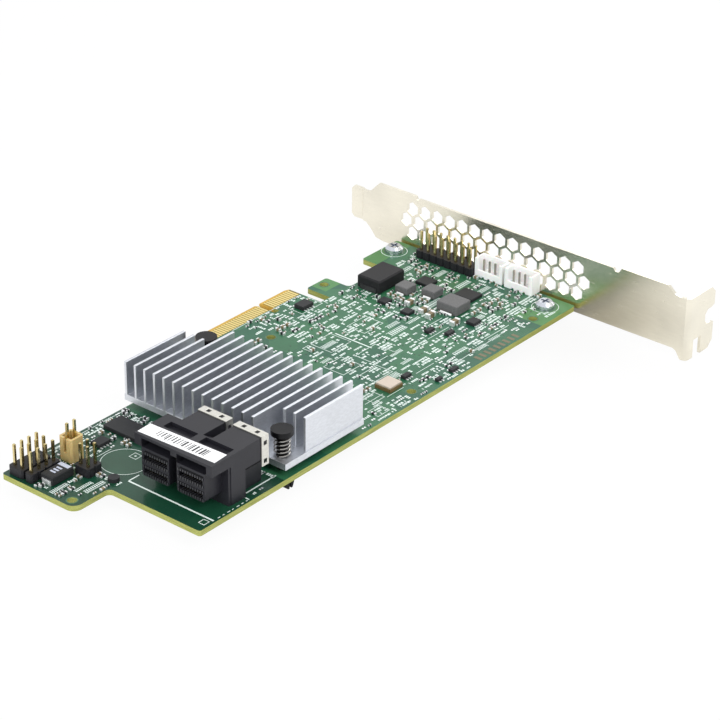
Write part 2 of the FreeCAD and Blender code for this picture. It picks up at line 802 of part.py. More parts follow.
def sas_housing():
    owner = body("sas_housing")
    ceiling = s.port_bottom + 8.1
    deck = sketch(owner, "XY_Plane", ceiling)
    rectangle(deck, s.port_leg_x, s.port_far_y, s.port_front_x, s.port_near_y)
    pad(owner, deck, s.port_height - ceiling)
    legs = sketch(owner, "XY_Plane")
    rectangle(legs, s.port_leg_x, s.port_far_y, s.port_deck_x, s.port_far_y + 2.0)
    rectangle(legs, s.port_leg_x, s.port_near_y - 1.2, s.port_deck_x, s.port_near_y)
    pad(owner, legs, s.port_height)
    towers = sketch(owner, "XY_Plane")
    for k in range(2):
        rectangle(towers, s.port_rear_x, tower_y(k), s.port_deck_x + 0.8, tower_y(k) + s.tower_width)
    pad(owner, towers, s.port_height)
    setback = sketch(owner, "XY_Plane")
    for k in range(2):
        outer_y = tower_y(k) + s.tower_width
        rectangle(setback, s.port_rear_x - 1, outer_y - s.tower_setback, s.port_leg_x, outer_y + 1)
    pocket(owner, setback, s.tower_seam_z, reverse=True)
    blocks = sketch(owner, "XY_Plane", s.port_bottom)
    for k in range(2):
        rectangle(blocks, s.port_deck_x, port_y(k), s.port_front_x, port_y(k) + s.port_width)
    pad(owner, blocks, s.port_height - s.port_bottom - 1)

    # Two card slots and a latch recess in the mouth of each port
    mouth = sketch(owner, "YZ_Plane", s.port_front_x - s.slot_depth)
    for k in range(2):
        for z in (s.slot_low_z, s.slot_low_z + s.slot_rise):
            rectangle(mouth, slot_y(k), z, slot_y(k) + s.slot_width, z + s.slot_height)
    pocket(owner, mouth, s.slot_depth + 1, reverse=True)
    latch = sketch(owner, "YZ_Plane", s.port_front_x - s.latch_depth)
    for k in range(2):
        rectangle(latch, port_y(k) + 0.05, ceiling, port_y(k) + s.port_width + 0.6,
                  ceiling + s.latch_height)
    pocket(owner, latch, s.latch_depth + 1, reverse=True)

    # Gap between the ports in front, and between the towers behind
    gaps = sketch(owner, "XY_Plane", ceiling - 1)
    rectangle(gaps, s.port_deck_x + 0.8, port_y(0) + s.port_width + 0.6, s.port_front_x + 1,
              port_y(1))
    pocket(owner, gaps, fixed(2.2), reverse=True)
    windows = sketch(owner, "XY_Plane", s.port_height)
    for k in range(2):
        rectangle(windows, s.port_leg_x + 2.4, tower_y(k) - 1.4, s.port_deck_x + 0.1,
                  tower_y(k) + 7.8)
    rectangle(windows, s.port_leg_x - 1, tower_y(0) + s.tower_width, s.port_leg_x + 2.0, tower_y(1))
    pocket(owner, windows, fixed(1.2))

    # Seam step along both sides of each port and the rounded lower edges
    lower = [(port_y(k) + at, s.port_bottom) for k in range(2) for at in (ZERO, s.port_width)]
    soften(owner, near(0, *lower), fixed(0.8))
    return owner


def sas_contacts():
    owner = body("sas_contacts", loose=True)
    margin = (s.slot_width - s.drive_contact_pitch * 8 - s.drive_contact_width) / 2
    for k in range(2):
        for z in (s.slot_low_z, s.slot_low_z + s.slot_rise):
            outline = sketch(owner, "XY_Plane", z)
            back = s.port_front_x - s.slot_depth
            rectangle(outline, back, slot_y(k) + margin, back + s.drive_contact_length,
                      slot_y(k) + margin + s.drive_contact_width)
            strip = pad(owner, outline, s.drive_contact_height)
            repeat(owner, strip, "Y_Axis", s.drive_contact_pitch, 9)
    return owner


def sas_retaining_clips():
    pieces = []
    for k in range(2):
        owner = body("retaining_clip_%d" % (k + 1))
        t = s.clip_thickness
        side = sketch(owner, "YZ_Plane", s.port_rear_x)
        y0 = tower_y(k)
        y1 = tower_y(k) + s.tower_width
        low = s.port_height - s.clip_leg
        polygon(side, [(y0, low), (y0, s.port_height), (y1, s.port_height), (y1, low), (y1 + t, low),
                       (y1 + t, s.port_height + t), (y0 - t, s.port_height + t), (y0 - t, low)])
        pad(owner, side, s.clip_width)
        h = s.clip_hole
        middle = s.port_rear_x + (s.clip_width - h) / 2
        top = sketch(owner, "XY_Plane", s.port_height)
        for y in (y0 + 1.7, y1 - 1.7 - h):
            rectangle(top, middle, y, middle + h, y + h)
        pocket(owner, top, t + 1, reverse=True)
        legs = sketch(owner, "XZ_Plane", -y0 + t + 1)
        for z in (low + 0.7, s.port_height - 2.4):
            rectangle(legs, middle, z, middle + h, z + h)
        pocket(owner, legs, s.tower_width + 4)
        pieces.append(owner)
    return group("sas_retaining_clips", pieces)


def sas_label():
    owner = body("sas_label")
    outline = sketch(owner, "XY_Plane", s.port_height)
    near_x = s.port_deck_x + 0.3
    polygon(outline, [(near_x, s.port_near_y - 1.0), (near_x + 4.7, s.port_near_y - 0.7),
                      (near_x + 5.7, s.port_far_y + 0.4), (near_x + 1.0, s.port_far_y + 0.2)])
    pad(owner, outline, fixed(0.1))
    return owner


def pin_bank(label, spots, side, top, tail):
    pieces = []
    for n, (x, y) in enumerate(spots):
        pin = block("%s_%d" % (label, n + 1), x - side / 2, y - side / 2, -tail, side, side, top + tail)
        pieces.append(chamfered("%s_tip_%d" % (label, n + 1), pin, 0.16, tip_edges))
    return group(label, pieces)


def tip_edges(edge):
    box = edge.BoundBox
    return box.ZLength < 1e-6 and box.ZMin > 1.0


def grid_spots(name):
    first_x, first_y, along_x, along_y = GRIDS[name]
    return [(first_x + s.header_pitch * i, first_y + s.header_pitch * j)
            for i in range(along_x) for j in range(along_y)]


def header_base(label, name):
    # One moulded strip of square cells with notches between them.
    owner = body(label)
    first_x, first_y, along_x, along_y = GRIDS[name]
    a = half_pitch
    c = fixed(0.45)
    longer_x = along_x >= along_y
    span = s.header_pitch * (min(along_x, along_y) - 1)
    cell = sketch(owner, "XY_Plane")
    x0, x1 = first_x - a, first_x + a
    y0, y1 = first_y - a, first_y + a
    if longer_x:
        y1 = y1 + span
    else:
        x1 = x1 + span
    polygon(cell, [(x0 + c, y0), (x1 - c, y0), (x1, y0 + c), (x1, y1 - c),
                   (x1 - c, y1), (x0 + c, y1), (x0, y1 - c), (x0, y0 + c)])
    one = pad(owner, cell, s.header_body)
    axis = "X_Axis" if longer_x else "Y_Axis"
    count = max(along_x, along_y)
    repeat(owner, one, axis, s.header_pitch, count)
    bores = sketch(owner, "XY_Plane", s.header_body)
    half = s.header_pin / 2
    for k in range(min(along_x, along_y)):
        x = first_x if longer_x else first_x + s.header_pitch * k
        y = first_y + s.header_pitch * k if longer_x else first_y
        rectangle(bores, x - half, y - half, x + half, y + half)
    bore = pocket(owner, bores)
    repeat(owner, bore, axis, s.header_pitch, count)
    return owner


def activity_sockets():
    pieces = []
    wall = s.wire_socket_wall
    for k in range(2):
        owner = body("activity_socket_%d" % (k + 1))
        x0 = wire_socket_x
        x1 = x0 + s.wire_socket_depth
        y0 = s.wire_socket_y + s.wire_socket_step * k
        y1 = y0 + s.wire_socket_length
        outline = sketch(owner, "XY_Plane")
        rectangle(outline, x0, y0, x1, y1)
        pad(owner, outline, s.wire_socket_height)
        hollow = sketch(owner, "XY_Plane", s.wire_socket_height)
        rectangle(hollow, x0 + wall, y0 + wall, x1 - wall, y1 - wall)
        pocket(owner, hollow, s.wire_socket_height - 1.4)
        front = sketch(owner, "YZ_Plane", x1 + 1)
        rectangle(front, y0 + wall * 1.6, ZERO + 2.3, y1 - wall * 1.6, s.wire_socket_height + 1)
        for j in range(3):
            y = y0 + 2.55 + s.wire_pitch * j
            rectangle(front, y, ZERO - 1, y + 0.8, ZERO + 0.5)
        pocket(owner, front, wall + 1)
        bores = sketch(owner, "XY_Plane", ZERO + 3)
        half = s.wire_pin / 2
        for j in range(4):
            y = wire_pin_y + s.wire_socket_step * k + s.wire_pitch * j
            rectangle(bores, wire_pin_x - half, y - half, wire_pin_x + half, y + half)
        pocket(owner, bores)
        pieces.append(owner)
    return group("activity_sockets", pieces)


def activity_socket_pins():
    spots = [(wire_pin_x, wire_pin_y + s.wire_socket_step * k + s.wire_pitch * j)
             for k in range(2) for j in range(4)]
    return pin_bank("activity_socket_pins", spots, s.wire_pin, s.wire_socket_height - 0.8,
                    s.header_pin_tail)


def fan_socket():
    owner = body("fan_socket")
    wall = s.fan_socket_wall
    x0, y0 = s.fan_socket_x, s.fan_socket_y
    x1, y1 = x0 + s.fan_socket_side, y0 + s.fan_socket_side
    outline = sketch(owner, "XY_Plane")
    rectangle(outline, x0, y0, x1, y1)
    pad(owner, outline, s.fan_socket_height)
    hollow = sketch(owner, "XY_Plane", s.fan_socket_height)
    rectangle(hollow, x0 + wall, y0 + wall, x1 - wall, y1 - wall)
    pocket(owner, hollow, s.fan_socket_height - 2.6)
    gate = sketch(owner, "YZ_Plane", x1 + 1)
    rectangle(gate, fan_pin_y - 0.5, ZERO + 2.6, fan_pin_y + 0.5, s.fan_socket_height + 1)
    pocket(owner, gate, wall + 1)
    bores = sketch(owner, "XY_Plane", ZERO + 4)
    half = s.header_pin / 2
    for i in range(2):
        x = fan_pin_x + s.header_pitch * i
        rectangle(bores, x - half, fan_pin_y - half, x + half, fan_pin_y + half)
    pocket(owner, bores)
    up = runs(2)

    def corner(edge):
        middle = edge.valueAt((edge.FirstParameter + edge.LastParameter) / 2)
        return up(edge) and min(abs(middle.x - number(x0)), abs(middle.x - number(x1))) < 0.01 \
            and min(abs(middle.y - number(y0)), abs(middle.y - number(y1))) < 0.01
    soften(owner, corner, fixed(0.5), "PartDesign::Chamfer")
    return owner


def fan_socket_pins():
    spots = [(fan_pin_x + s.header_pitch * i, fan_pin_y) for i in range(2)]
    return pin_bank("fan_socket_pins", spots, s.header_pin, s.fan_pin_top, s.header_pin_tail)


def moulded(name, x, y, dx, dy, dz, rise=None, edge=0.25):
    # A moulded block whose upper edges are eased.
    low = ZERO if rise is None else rise
    thing = block(name, x, y, low, dx, dy, dz - low)
    top = number(dz)

    def upper(e):
        box = e.BoundBox
        return box.ZLength < 1e-6 and abs(box.ZMin - top) < 1e-6
    return chamfered(name + "_eased", thing, edge, upper)


def end_caps(name, x, y, dx, dy, reach, height, along_x=True):
    # The two metal ends of a part that stands a little above the board.
    pieces = []
    t = s.terminal_thickness
    for n, at in enumerate((0, 1)):
        if along_x:
            px = x - t if at == 0 else x + dx - reach
            foot = block("%s_foot_%d" % (name, n), px, y + dy * 0.15, ZERO, reach + t, dy * 0.7, t)
            wall = block("%s_wall_%d" % (name, n), x - t if at == 0 else x + dx, y + dy * 0.15,
                         ZERO, t, dy * 0.7, height)
        else:
            py = y - t if at == 0 else y + dy - reach
            foot = block("%s_foot_%d" % (name, n), x + dx * 0.15, py, ZERO, dx * 0.7, reach + t, t)
            wall = block("%s_wall_%d" % (name, n), x + dx * 0.15, y - t if at == 0 else y + dy,
                         ZERO, dx * 0.7, t, height)
        pieces.append(joined("%s_cap_%d" % (name, n), [foot, wall]))
    return pieces


def power_parts():
    t = s.terminal_thickness
    x, y = -s.inductor_x, s.inductor_y
    core = moulded("power_inductor_core", x, y, s.inductor_length, s.inductor_depth,
                   s.inductor_height, t, 0.4)
    nodes.append(group("power_inductor", [core]))
    nodes.append(group("power_inductor_terminals",
                       end_caps("inductor_end", x, y, s.inductor_length, s.inductor_depth,
                                fixed(1.6), fixed(1.5))))
    greys, caps = [], []
    for n, (gx, gy, dx, dy, dz) in enumerate((
            (-35.4, 24.9, 4.5, 4.4, 2.4), (-38.5, 32.0, 4.5, 4.6, 2.4), (-36.5, 40.6, 6.5, 7.2, 3.0))):
        spot = [fixed(v) for v in (gx, gy, dx, dy)]
        greys.append(moulded("grey_inductor_%d" % (n + 1), *spot, fixed(dz), t, 0.2))
        caps += end_caps("grey_end_%d" % (n + 1), *spot, fixed(0.9), fixed(0.9))
    nodes.append(group("grey_inductors", greys))
    nodes.append(group("grey_inductor_terminals", caps))
    stages = [moulded("power_stage_%d" % n, fixed(px), fixed(py), fixed(dx), fixed(dy), fixed(0.95),
                      None, 0.12)
              for n, (px, py, dx, dy) in enumerate(((-43.3, 25.9, 4.4, 4.8), (-44.9, 39.3, 5.2, 6.3)))]
    nodes.append(group("power_stage_chips", stages))
    tant = moulded("tantalum_case", s.tantalum_x, s.tantalum_y, s.tantalum_length, s.tantalum_width,
                   s.tantalum_height, t, 0.3)
    nodes.append(group("tantalum_capacitor", [tant]))
    nodes.append(group("tantalum_terminals",
                       end_caps("tantalum_end", s.tantalum_x, s.tantalum_y, s.tantalum_length,
                                s.tantalum_width, fixed(1.3), fixed(1.4))))
    bulks = [moulded("bulk_capacitor_%d" % n, fixed(px), fixed(py), fixed(dx), fixed(dy), fixed(1.3),
                     None, 0.15)
             for n, (px, py, dx, dy) in enumerate((
                 (-28.2, 37.9, 3.2, 1.6), (-27.2, 41.2, 3.2, 1.6), (-28.2, 49.0, 3.2, 1.6),
                 (-29.4, 32.0, 3.0, 1.6)))]
    nodes.append(group("bulk_capacitors", bulks))


def lead_rows(name, x, y, dx, dy, count, along_x):
    # Flat feet of the leads along both long sides, level with the underside of the case.
    pieces = []
    w, out, t = s.lead_width, s.lead_reach, s.lead_thickness
    step = (dx if along_x else dy) / count
    for side in (0, 1):
        for i in range(count):
            at = fixed(step * (i + 0.5)) - w / 2
            tag = "%s_%d_%d" % (name, side, i)
            if along_x:
                foot = (at + x, fixed(y + dy) if side else fixed(y) - out, w, out)
            else:
                foot = (fixed(x + dx) if side else fixed(x) - out, at + y, out, w)
            pieces.append(block(tag, foot[0], foot[1], ZERO, foot[2], foot[3], t + s.lead_lap))
    return pieces


def chips():
    nodes.append(group("memory_chip", [
        moulded("memory_case", fixed(71.4), fixed(16.4), fixed(6.5), fixed(13.0), s.chip_height,
                None, 0.1)]))
    ox, oy = fixed(10.4), fixed(55.8)
    base = block("oscillator_foot", ox, oy, ZERO, s.oscillator_side_x, s.oscillator_side_y, fixed(1.0))
    nodes.append(group("oscillator_base", [base]))
    lid = moulded("oscillator_cover", ox + 0.2, oy + 0.2, s.oscillator_side_x - 0.4,
                  s.oscillator_side_y - 0.4, fixed(1.6), fixed(1.0), 0.15)
    nodes.append(group("oscillator_lid", [lid]))
    cases, leads = [], []
    spots = (
        # x, y, length, width, height, leads on a side, leads along X
        (-9.3, 9.6, 4.4, 3.4, 1.3, 4, True), (4.6, 57.9, 2.9, 1.6, 1.0, 3, True),
        (-24.7, 34.2, 3.0, 3.0, 0.9, 0, True), (-19.8, 46.6, 2.9, 1.6, 1.0, 3, True),
        (-22.2, 51.7, 2.9, 1.6, 1.0, 3, True), (-31.9, 52.2, 3.4, 2.9, 1.1, 4, True),
        (-6.5, 65.4, 2.9, 1.4, 1.0, 3, True), (0.6, 65.8, 2.2, 1.2, 0.9, 2, True),
        (-25.7, 25.2, 3.1, 3.1, 0.9, 0, True), (81.9, 19.9, 4.2, 3.2, 1.1, 4, True))
    for n, (x, y, dx, dy, dz, count, along) in enumerate(spots):
        lift = s.lead_thickness if count else None
        cases.append(moulded("small_chip_%d" % n, fixed(x), fixed(y), fixed(dx), fixed(dy),
                             fixed(dz), lift, 0.12))
        if count:
            leads += lead_rows("lead_%d" % n, x, y, dx, dy, count, along)
    nodes.append(group("small_chips", cases))
    nodes.append(group("small_chip_leads", leads))
    choke = body("round_choke")
    outline = sketch(choke, "XY_Plane")
    circle(outline, 94.6, 36.6, 3.0)
    pad(choke, outline, fixed(1.1))
    nodes.append(choke)

    # Ceramic capacitors and resistors, in the rows that stand beside the bigger parts
    caps = [(x, 14.6, 0.8, 1.6, 0.8) for x in (4.0, 6.0, 8.0, 16.0, 18.0, 20.0)]
    caps += [(x, 49.9, 1.6, 0.8, 0.8) for x in (-38.0, -35.4, -46.2, -43.4)]
    caps += [(-29.3, y, 1.6, 0.8, 0.8) for y in (24.6, 26.4, 28.2)]
    caps += [(-32.4, y, 1.6, 0.8, 0.8) for y in (33.6, 35.4)]
    caps += [(x, 31.2, 0.8, 1.6, 0.8) for x in (70.6, 72.4, 74.2, 76.0)]
    caps += [(79.4, y, 1.6, 0.8, 0.8) for y in (17.6, 25.6, 27.4)]
    caps += [(x, 54.6, 0.8, 1.6, 0.8) for x in (17.6, 19.2)]
    nodes.append(group("chip_capacitors", [
        block("chip_capacitor_%d" % n, x, y, 0, dx, dy, dz) for n, (x, y, dx, dy, dz) in enumerate(caps)]))
    res = [(x, 18.2, 0.8, 1.6, 0.5) for x in (-6.0, -4.4, -2.8, 4.0, 5.6)]
    res += [(-19.6, y, 1.6, 0.8, 0.5) for y in (28.0, 30.0, 34.4, 36.0)]
    res += [(-48.6, y, 1.6, 0.8, 0.5) for y in (18.4, 20.4, 22.4, 24.4, 30.6, 32.4)]
    res += [(x, 58.2, 0.8, 1.6, 0.5) for x in (-34.0, -32.4, -27.0)]
    res += [(x, 62.6, 0.8, 1.6, 0.5) for x in (-8.0, -6.2, 2.0, 3.8)]
    res += [(x, 31.4, 1.6, 0.8, 0.5) for x in (103.6, 106.2)]
    nodes.append(group("chip_resistors", [
        block("chip_resistor_%d" % n, x, y, 0, dx, dy, dz) for n, (x, y, dx, dy, dz) in enumerate(res)]))

    # Decoupling capacitors on the solder side, under the processor
    under = []
    for i in range(5):
        for j in range(4):
            n = len(under)
            under.append(block("solder_side_%d" % n, sink_x - 9.0 + 4.2 * i, sink_y - 6.9 + 4.2 * j,
                               solder_face - 0.8, fixed(1.6), fixed(0.8), fixed(0.8)))
    nodes.append(group("solder_side_capacitors", under))


nodes.append(pcb())
nodes.append(edge_contacts("edge_contacts_component_side", ZERO))
nodes.append(edge_contacts("edge_contacts_solder_side", solder_face - s.contact_thickness))
nodes.append(io_bracket())
nodes.append(group("bracket_screws", [bracket_screw(1, s.screw_low_y), bracket_screw(2, screw_high_y)]))
nodes.append(heatsink())
nodes.append(raid_processor())
pad_body = body("thermal_pad")
pad_outline = sketch(pad_body, "XY_Plane", s.processor_thickness + s.die_height)
rectangle(pad_outline, sink_x - s.die_side / 2, sink_y - s.die_side / 2,
          sink_x + s.die_side / 2, sink_y + s.die_side / 2)
pad(pad_body, pad_outline, s.pad_thickness)
nodes.append(pad_body)
nodes.append(push_pins())
nodes.append(push_pin_springs())
nodes.append(sas_housing())
nodes.append(sas_contacts())
nodes.append(sas_retaining_clips())
nodes.append(sas_label())
for label, name in (("module_header", "module"), ("cable_header", "cable"),
                    ("jumper_row", "jumper"), ("service_header", "service")):
    nodes.append(header_base(label + "_base", name))
    nodes.append(pin_bank(label + "_pins", grid_spots(name), s.header_pin, s.header_pin_top,
                          s.header_pin_tail))
nodes.append(activity_sockets())
nodes.append(activity_socket_pins())
nodes.append(fan_socket())
nodes.append(fan_socket_pins())
power_parts()
chips()

doc.recompute()
for thing in doc.Objects:
    if "Invalid" in thing.State or "Error" in thing.State:
        fail("broken object " + thing.Label + " " + str(thing.State))

os.makedirs("parts", exist_ok=True)
for thing in nodes:
    if thing.Shape.isNull() or not thing.Shape.isValid():
        fail("broken shape " + thing.Label)
    thing.Shape.exportStep("parts/%s.step" % thing.Label)
    box = thing.Shape.BoundBox
    print("%-32s solids %3d volume %9.2f  x %7.2f %7.2f  y %7.2f %7.2f  z %6.2f %6.2f" % (
        thing.Label, len(thing.Shape.Solids), thing.Shape.Volume,
        box.XMin, box.XMax, box.YMin, box.YMax, box.ZMin, box.ZMax))
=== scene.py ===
import math
import random

import bpy
import bmesh
from mathutils import Matrix, Vector
from mathutils.bvhtree import BVHTree


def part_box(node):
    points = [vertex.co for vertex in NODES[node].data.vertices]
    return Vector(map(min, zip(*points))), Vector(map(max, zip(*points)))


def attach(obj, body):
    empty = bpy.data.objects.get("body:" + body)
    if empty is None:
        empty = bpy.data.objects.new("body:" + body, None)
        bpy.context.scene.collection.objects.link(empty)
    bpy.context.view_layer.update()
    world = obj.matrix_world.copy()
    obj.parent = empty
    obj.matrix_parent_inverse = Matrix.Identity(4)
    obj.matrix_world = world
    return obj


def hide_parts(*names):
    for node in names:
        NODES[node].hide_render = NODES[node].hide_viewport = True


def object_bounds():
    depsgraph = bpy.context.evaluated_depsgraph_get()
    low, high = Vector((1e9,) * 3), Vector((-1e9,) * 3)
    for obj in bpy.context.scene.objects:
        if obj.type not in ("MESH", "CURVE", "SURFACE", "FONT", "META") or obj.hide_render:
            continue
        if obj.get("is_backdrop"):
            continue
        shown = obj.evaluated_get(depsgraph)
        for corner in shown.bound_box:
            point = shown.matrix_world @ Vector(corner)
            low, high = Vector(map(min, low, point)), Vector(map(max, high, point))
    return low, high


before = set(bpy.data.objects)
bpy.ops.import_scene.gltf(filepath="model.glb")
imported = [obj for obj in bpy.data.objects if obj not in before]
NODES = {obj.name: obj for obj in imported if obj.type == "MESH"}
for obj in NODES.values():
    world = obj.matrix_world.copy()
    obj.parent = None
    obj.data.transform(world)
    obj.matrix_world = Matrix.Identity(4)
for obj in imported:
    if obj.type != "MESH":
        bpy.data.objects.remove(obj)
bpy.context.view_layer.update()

bl_info = {
    "name": "Controller card looks",
    "version": (1, 0, 0),
    "blender": (4, 5, 0),
    "location": "View3D > Sidebar > Card",
    "description": "Dresses an expansion card: board print, small parts, metals, mouldings and the stage",
    "category": "Object",
}

MM = 0.001
CONTACTS = ("edge_contacts_component_side", "edge_contacts_solder_side")

# Places on the board are in millimetres: X runs along the card from the key notch, Y up from the fingers.
# The solder mask changes at these lines, and at the rim and the screw end no copper lies under it
DRIVE_END_START = 67.0
RIM_END, RIM_TOP = -18.4, 9.8
SCREW_END, SCREW_SIDE = -41.5, 59.5
FINGERS_START, FINGERS_END, FINGERS_TOP = -12.7, 39.7, 5.35
BEVEL_END = 1.35

# Beside the heatsink, between these two ends and below this line, there is hardly any print
PRINT_END, SINK_END = 15.0, 66.0
PRINT_SIDE = 52.0

# The middles of the tool holes, and the middle and radius of a round with a plain mask
TOOL_HOLES = ((107.9, 35.4), (-21.4, 6.65), (12.5, 16.3), (11.2, 64.6), (-43.3, 64.5))
PLAIN_DISC = (86.3, 32.4, 6.2)

# The radius of a via, and how high plated rings and bare pads stand
VIA_RADIUS = 0.24
PLATE_TOP = 0.035


# Shapes

def corners(x0, y0, x1, y1):
    """The corners of a rectangle."""
    return [(x0, y0), (x1, y0), (x1, y1), (x0, y1)]


def circle(x, y, radius, steps):
    """The corners of a round outline."""
    turns = [2 * math.pi * i / steps for i in range(steps)]
    return [(x + radius * math.cos(turn), y + radius * math.sin(turn)) for turn in turns]


def add_object(name, data):
    """A new object in the scene."""
    thing = bpy.data.objects.new(name, data)
    bpy.context.scene.collection.objects.link(thing)
    return thing


class Solids:
    """Closed solids gathered into one mesh. All lengths are in millimetres."""

    def __init__(self):
        self.points = []
        self.faces = []

    def skin(self, first, count, layers):
        """Close the layers of points that begin at first, with count points each, into one solid."""
        last = first + count * (layers - 1)
        self.faces.append([first + i for i in reversed(range(count))])
        self.faces.append([last + i for i in range(count)])
        for low in range(first, last, count):
            for i in range(count):
                j = (i + 1) % count
                self.faces.append([low + i, low + j, low + count + j, low + count + i])

    def loft(self, rings):
        """Skin a stack of outlines with as many corners each; a ring is (points, height)."""
        first = len(self.points)
        for outline, height in rings:
            self.points += [(x * MM, y * MM, height * MM) for x, y in outline]
        self.skin(first, len(rings[0][0]), len(rings))

    def box(self, x0, y0, z0, x1, y1, z1, ease=0.0):
        """A block whose upper edges are eased."""
        full = corners(x0, y0, x1, y1)
        rings = [(full, z0), (full, z1 - ease)]
        if ease:
            rings.append((corners(x0 + ease, y0 + ease, x1 - ease, y1 - ease), z1))
        self.loft(rings)

    def bar(self, a, b, width, low, high):
        """A straight bar from a to b, seen from above."""
        a, b = Vector(a), Vector(b)
        run = (b - a).normalized() * width / 2
        side = Vector((-run.y, run.x))
        outline = [a - side, b - side, b + side, a + side]
        self.loft([(outline, low), (outline, high)])

    def disc(self, x, y, radius, low, high, steps=12, crown=0.0):
        """A round plate whose upper rim is eased by the crown."""
        full = circle(x, y, radius, steps)
        rings = [(full, low), (full, high - crown)]
        if crown:
            rings.append((circle(x, y, max(radius - crown, radius * 0.3), steps), high))
        self.loft(rings)

    def ring(self, x, y, inner, outer, low, high, steps):
        """A flat ring with an open middle."""
        first = len(self.points)
        for radius, height in ((inner, low), (outer, low), (outer, high), (inner, high)):
            self.points += [(px * MM, py * MM, height * MM) for px, py in circle(x, y, radius, steps)]
        for k in range(4):
            a, b = first + steps * k, first + steps * ((k + 1) % 4)
            for i in range(steps):
                j = (i + 1) % steps
                self.faces.append([b + j, b + i, a + i, a + j])

    def wire(self, route, radius, sides=8):
        """A round wire along a route of (x, y, z) points."""
        first = len(self.points)
        count = len(route)
        for k, here in enumerate(route):
            way = (Vector(route[min(k + 1, count - 1)]) - Vector(route[max(k - 1, 0)])).normalized()
            across = way.cross(Vector((0, 0, 1))).normalized()
            up = across.cross(way)
            for right, rise in circle(0, 0, radius, sides):
                self.points.append(tuple((Vector(here) + across * right + up * rise) * MM))
        self.skin(first, sides, count)

    def piece(self, name, material, slot, smooth=False):
        """Turn what was gathered into a visible piece of the part."""
        mesh = bpy.data.meshes.new(name)
        mesh.from_pydata(self.points, [], self.faces)
        mesh.update()
        tidy = bmesh.new()
        tidy.from_mesh(mesh)
        bmesh.ops.recalc_face_normals(tidy, faces=tidy.faces)
        tidy.to_mesh(mesh)
        tidy.free()
        if smooth:
            mesh.shade_smooth()
            mesh.set_sharp_from_angle(angle=math.radians(35))
        thing = add_object(name, mesh)
        thing.data.materials.append(material)
        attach(thing, "root")
        return thing


def islands(node):
    """The low and high corner of each separate solid in a node, in millimetres."""
    mesh = bmesh.new()
    mesh.from_mesh(NODES[node].data)
    bmesh.ops.remove_doubles(mesh, verts=mesh.verts, dist=1e-7)
    seen, boxes = set(), []
    for start in mesh.verts:
        if start.index in seen:
            continue
        seen.add(start.index)
        stack, found = [start], []
        while stack:
            vert = stack.pop()
            found.append(vert.co / MM)
            for edge in vert.link_edges:
                other = edge.other_vert(vert)
                if other.index not in seen:
                    seen.add(other.index)
                    stack.append(other)
        boxes.append([Vector([end(axis) for axis in zip(*found)]) for end in (min, max)])
    mesh.free()
    return sorted(boxes, key=lambda b: (round(b[0].x, 3), round(b[0].y, 3)))


def span(node):
    """A node's low and high corner in millimetres."""
    low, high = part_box(node)
    return low / MM, high / MM


def surfaces(names):
    """The surfaces of some nodes together, for rays to be cast at."""
    points, faces = [], []
    for name in names:
        mesh = NODES[name].data
        first = len(points)
        points += [v.co for v in mesh.vertices]
        faces += [[first + i for i in p.vertices] for p in mesh.polygons]
    return BVHTree.FromPolygons(points, faces)


class BareBoard:
    """The cells of the board's face that nothing stands on yet."""

    CELL = 0.25
    RIM = 0.3

    def __init__(self):
        self.low, high = span("pcb")
        self.columns = int((high.x - self.low.x) / self.CELL)
        self.rows = int((high.y - self.low.y) / self.CELL)
        board = surfaces(["pcb"])
        parts = surfaces([n for n in NODES if n not in ("pcb", *CONTACTS)])
        down = Vector((0, 0, -1))
        self.free = bytearray(self.columns * self.rows)
        for i in range(self.columns):
            for j in range(self.rows):
                x = (self.low.x + (i + 0.5) * self.CELL) * MM
                y = (self.low.y + (j + 0.5) * self.CELL) * MM
                above = Vector((x, y, 0.05))
                hit = board.ray_cast(above, down)[0]
                other = parts.ray_cast(above, down)[0]
                if hit and hit.z > -0.0001 and not (other and other.z > 0.00002):
                    self.free[i * self.rows + j] = 1

    def cells(self, x0, y0, x1, y1):
        """The runs of cells that a box covers."""
        i0 = max(int((x0 - self.low.x) / self.CELL), 0)
        i1 = min(int((x1 - self.low.x) / self.CELL), self.columns - 1)
        j0 = max(int((y0 - self.low.y) / self.CELL), 0)
        j1 = min(int((y1 - self.low.y) / self.CELL), self.rows - 1)
        for i in range(i0, i1 + 1):
            yield i * self.rows + j0, i * self.rows + j1 + 1

    def bare(self, x0, y0, x1, y1):
        """Whether a box lies on the board, off its rim, with nothing on it."""
        right, top = self.low.x + self.columns * self.CELL, self.low.y + self.rows * self.CELL
        if min(x0 - self.low.x, y0 - self.low.y, right - x1, top - y1) < self.RIM:
            return False
        return all(0 not in self.free[a:b] for a, b in self.cells(x0, y0, x1, y1))

    def take(self, x0, y0, x1, y1):
        """Mark a box as covered."""
        for a, b in self.cells(x0, y0, x1, y1):
            self.free[a:b] = bytes(b - a)

    def claim(self, x0, y0, x1, y1, margin=0.0):
        """Take a box and a margin round it if all of that is bare."""
        wide = (x0 - margin, y0 - margin, x1 + margin, y1 + margin)
        free = self.bare(*wide)
        if free:
            self.take(*wide)
        return free


# Finishes

def feed(tree, node, inputs):
    """Give a node's inputs their values, or a link from another node's output. Colours have three numbers."""
    for key, value in inputs.items():
        socket = node.inputs[key]
        if isinstance(value, bpy.types.NodeSocket):
            tree.links.new(value, socket)
        else:
            socket.default_value = (*value, 1) if socket.type == "RGBA" else value


def add_node(tree, kind, inputs=None, **settings):
    """Add a node with its settings and inputs."""
    node = tree.nodes.new(kind)
    for name, value in settings.items():
        setattr(node, name, value)
    feed(tree, node, inputs or {})
    return node


def maths(tree, operation, first, second=0.0):
    """The output of a calculation with two values or outputs."""
    return add_node(tree, "ShaderNodeMath", {0: first, 1: second}, operation=operation).outputs[0]


